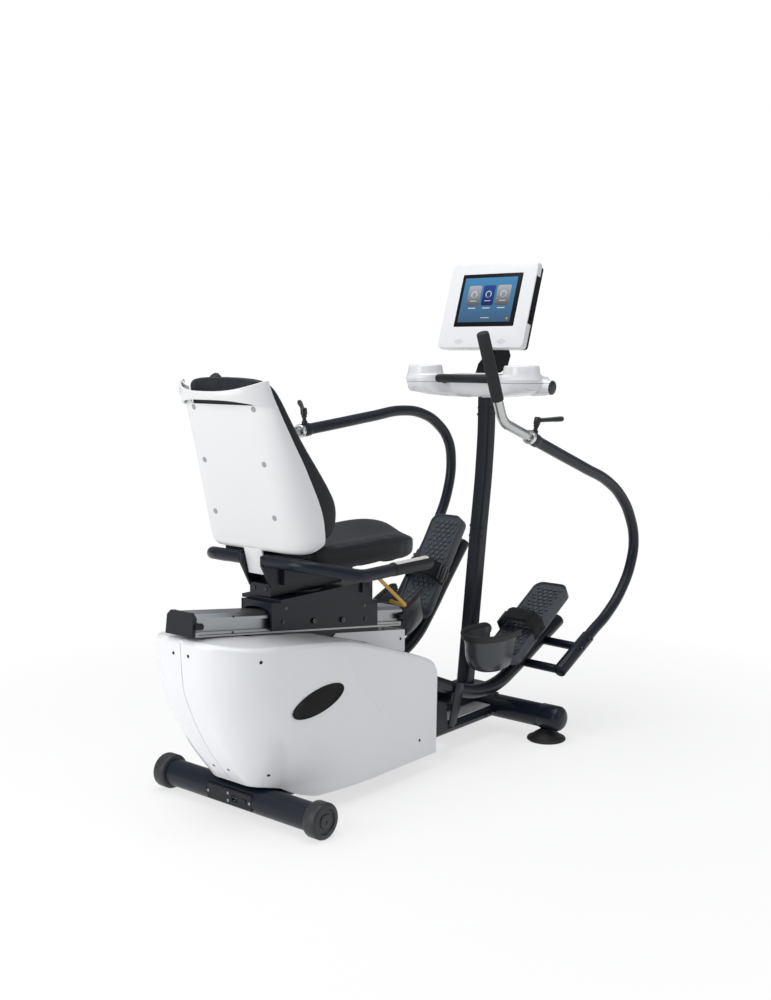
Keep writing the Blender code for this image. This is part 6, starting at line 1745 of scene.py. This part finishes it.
# %% Bolt the post, the carriage and the seat's beam
bolt = socket_screw("bolt", 0.0062, 0.0036)
places = on_both(0.0249, (1.1521, 0.7034), (1.1479, 0.6683), (1.1947, 1.1182), (1.1915, 1.0945))
places.append(((post_middle(0.6893) - 0.0249, 0.012, 0.6893), (-1, 0, 0.13)))
set_copies("post_bolts", bolt, places, "base", "black_plastic", BLACK_SMOOTH)
places = on_both(0.0619, (0.115, 0.545), (0.476, 0.493))
set_copies("carriage_bolts", bolt, places, "carriage", "steel", DARK_STEEL)
places = [((0.0862, y, 0.64), (-1, 0, 0)) for y in (-0.024, 0.024)]
set_copies("beam_bolts", bolt, places, "seat", "steel", DARK_STEEL)
NUT_PROFILE = [
    (0.0, 0.005), (0.0035, 0.005), (0.004, 0.0066), (0.0078, 0.0066), (0.0088, 0.0056), (0.0088, -0.001),
]
nut = lathe("nut", NUT_PROFILE, steps=6)
places = on_both(0.0619, (0.242, 0.527), (0.368, 0.509))
set_copies("carriage_nuts", nut, places, "carriage", "steel", DARK_STEEL, sharp=25)
drop(bolt, nut)
print("the post is smooth and bolted")

# %% [markdown]
# ## Rail
#
# The rail is extruded aluminium with a deep groove along each side. A thin black strip along its
# foot is painted shade where the lower flange begins. Two small screws on each side hold the rear cap.

# %% Paint shade along the rail's foot and screw its cap on
RAIL = Matrix.Translation((-0.208, 0, 0.5555)) @ Matrix.Rotation(math.radians(7.74), 4, "Y")
lines = []
# A thin black strip on each side of the rail: painted shade where the lower flange begins.
for side in SIDES.values():
    low, high = sorted((side * 0.0494, side * 0.0503))
    lines.append(block("line", (0.015, low, 0.0052), (0.869, high, 0.0072)))
line = join("rail_foot_painted_shade", *lines)
line.matrix_world = RAIL @ line.matrix_world
settle(line, "base", "black_plastic", BLACK_SMOOTH)
small_screw = socket_screw("small_screw", 0.0034, 0.0014)
places = []
for side in SIDES.values():
    for along, height in ((0.136, 0.053), (0.138, 0.0095)):
        places.append((RAIL @ Vector((along, side * 0.0499, height)), (0, side, 0)))
set_copies("rail_screws", small_screw, places, "base", "black_plastic", BLACK_SMOOTH)
drop(small_screw)
print("the rail is marked")

# %% [markdown]
# ## Armrests
#
# Each armrest is one round tube that leaves the hinge behind the seat, turns forward and drops to
# the level of the hand. Its grip is a thicker sleeve with rounded ends, and a pale strip lies
# along the top where the hand's pulse is read.

# %% Bend the armrests and fit the grips
REST_Y, REST_Z = 0.2775, 0.69
SLEEVE_PROFILE = [
    (0.0186, 0.0), (0.0198, 0.0012), (0.0202, 0.0035), (0.0202, 0.17), (0.0194, 0.1745),
    (0.016, 0.1772), (0.0, 0.1783),
]
for word, side in SIDES.items():
    y, body = side * REST_Y, f"armrest_{word}"
    route = [(0.067, side * 0.0463, 0.728), (0.067, side * 0.19, 0.728)]
    route += [(0.215, y, 0.689), (0.52, y, REST_Z)]
    tube = pipe(f"armrest_tube_{word}", rounded(route, 0.075, steps=18), 0.0185, sides=40)
    settle(tube, body, "dark_paint", DARK_PAINT, f"armrest_{word}")
    sleeve = lathe(f"armrest_sleeve_{word}", SLEEVE_PROFILE, (0.345, y, REST_Z), (1, 0, 0), steps=40)
    settle(sleeve, body, "black_plastic", BLACK_PLASTIC, f"armrest_grip_{word}")
    strip = bar(f"armrest_strip_{word}", (0.352, y, REST_Z), (0.507, y, REST_Z), 0.0207, sides=64)
    trim = block("trim", (0.354, y - 0.0135, 0.7025), (0.505, y + 0.0135, 0.72), bevel=0.004)
    cut(strip, trim, "INTERSECT")
    settle(strip, body, "silver", PALE_STRIP, sharp=30)
print("the armrests are bent")

# %% Bend the release lever
route = rounded([
    (0.45, -0.0777, 0.64), (0.45, -0.13, 0.64), (0.48, -0.13, 0.615), (0.596, -0.13, 0.522),
    (0.592, -0.068, 0.531),
], 0.014, steps=8)
rod = pipe("rod", route, 0.006, sides=20)
TIP_PROFILE = [(0.0, 0.0), (0.004, 0.0006), (0.0059, 0.0026), (0.0059, 0.01), (0.0, 0.01)]
tip = lathe("tip", TIP_PROFILE, (0.592, -0.0655, 0.5312), (0, -1, 0), steps=20)
settle(join("release_rod", rod, tip), "seat_release_lever", "yellow", YELLOW, "seat_release_lever")
print("the armrests and the release lever are bent")

# %% [markdown]
# ## Floor and light
#
# The photograph is a catalogue shot: a white floor that runs out of sight, a big soft light
# above, a smaller one at the left and a weak one at the right. The floor glows by itself, less near
# the machine, where it takes the soft shadow, and more further out, where it is plain white.

# %% Lay the floor
FADE_MIDDLE, FADE_LENGTH = 1.45, 1.2
GLOW_NEAR, GLOW_MORE = 0.68, 0.32


def floor_finish():
    """White that glows by itself, more so further out, for all that looks at it."""
    finish = Finish("studio_floor", (0.93, 0.93, 0.93), 0.9)
    tree = finish.tree
    place = finish.add("ShaderNodeTexCoord", output="Object")
    far = finish.add("ShaderNodeVectorMath", {"operation": "LENGTH"}, output="Value", Vector=place)
    fade = far.above(FADE_MIDDLE, FADE_LENGTH)
    paths = tree.nodes.new("ShaderNodeLightPath")
    seen, glossy, through = (
        Value(finish, paths.outputs[f"Is {kind} Ray"]) for kind in ("Camera", "Glossy", "Transmission")
    )
    shown = (seen + glossy + through).maths("MINIMUM", 1.0)
    glow = tree.nodes.new("ShaderNodeEmission")
    glow.inputs["Color"].default_value = (1.0, 1.0, 1.0, 1.0)
    mix = tree.nodes.new("ShaderNodeMixShader")
    finish.feed(mix.inputs[0], (fade * GLOW_MORE + GLOW_NEAR) * shown)
    tree.links.new(finish.shader.outputs[0], mix.inputs[1])
    tree.links.new(glow.outputs[0], mix.inputs[2])
    tree.links.new(mix.outputs[0], tree.nodes["Material Output"].inputs["Surface"])
    return finish.material


bpy.ops.mesh.primitive_plane_add(size=24.0, location=(0.0, 0.0, -0.0004))
floor = bpy.context.object
floor.name = "floor"
floor.data.materials.append(floor_finish())
floor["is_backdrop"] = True
print("the floor is", [round(side) for side in floor.dimensions[:2]], "metres")

# %% Set the lights
world = bpy.data.worlds.new("studio")
bpy.context.scene.world = world
world.use_nodes = True
sky = world.node_tree
backdrop = sky.nodes["Background"]
backdrop.inputs["Strength"].default_value = 1.0
paths = sky.nodes.new("ShaderNodeLightPath")
tone = sky.nodes.new("ShaderNodeMix")
tone.data_type = "RGBA"
tone.inputs[6].default_value = (0.34, 0.35, 0.37, 1.0)
tone.inputs[7].default_value = (1.0, 1.0, 1.0, 1.0)
sky.links.new(paths.outputs["Is Camera Ray"], tone.inputs[0])
sky.links.new(tone.outputs[2], backdrop.inputs["Color"])


def soft_light(name, place, target, size, power):
    """A square lamp that points at the target."""
    data = bpy.data.lights.new(name, "AREA")
    data.size = size
    data.energy = power
    lamp = add_object(name, data)
    lamp.location = place
    lamp.rotation_mode = "QUATERNION"
    lamp.rotation_quaternion = (Vector(target) - Vector(place)).to_track_quat("-Z", "Y")


soft_light("overhead_softbox", (-0.5, 0.2, 4.8), (0.0, 0.0, 0.3), 4.0, 140.0)
soft_light("left_softbox", (-3.6, 0.5, 1.6), (-0.3, 0.0, 0.5), 2.2, 50.0)
soft_light("right_fill", (1.2, -3.6, 1.8), (0.0, 0.0, 0.6), 2.4, 13.0)
bpy.context.scene.view_settings.view_transform = "Standard"
print("the floor and three lamps are set")

# %% [markdown]
# ## Dressed size
#
# The dressed machine must keep the frame's size; here its size is printed.

# %% Print the dressed size
low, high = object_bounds()
print("dressed size", [round(high[i] - low[i], 3) for i in range(3)])
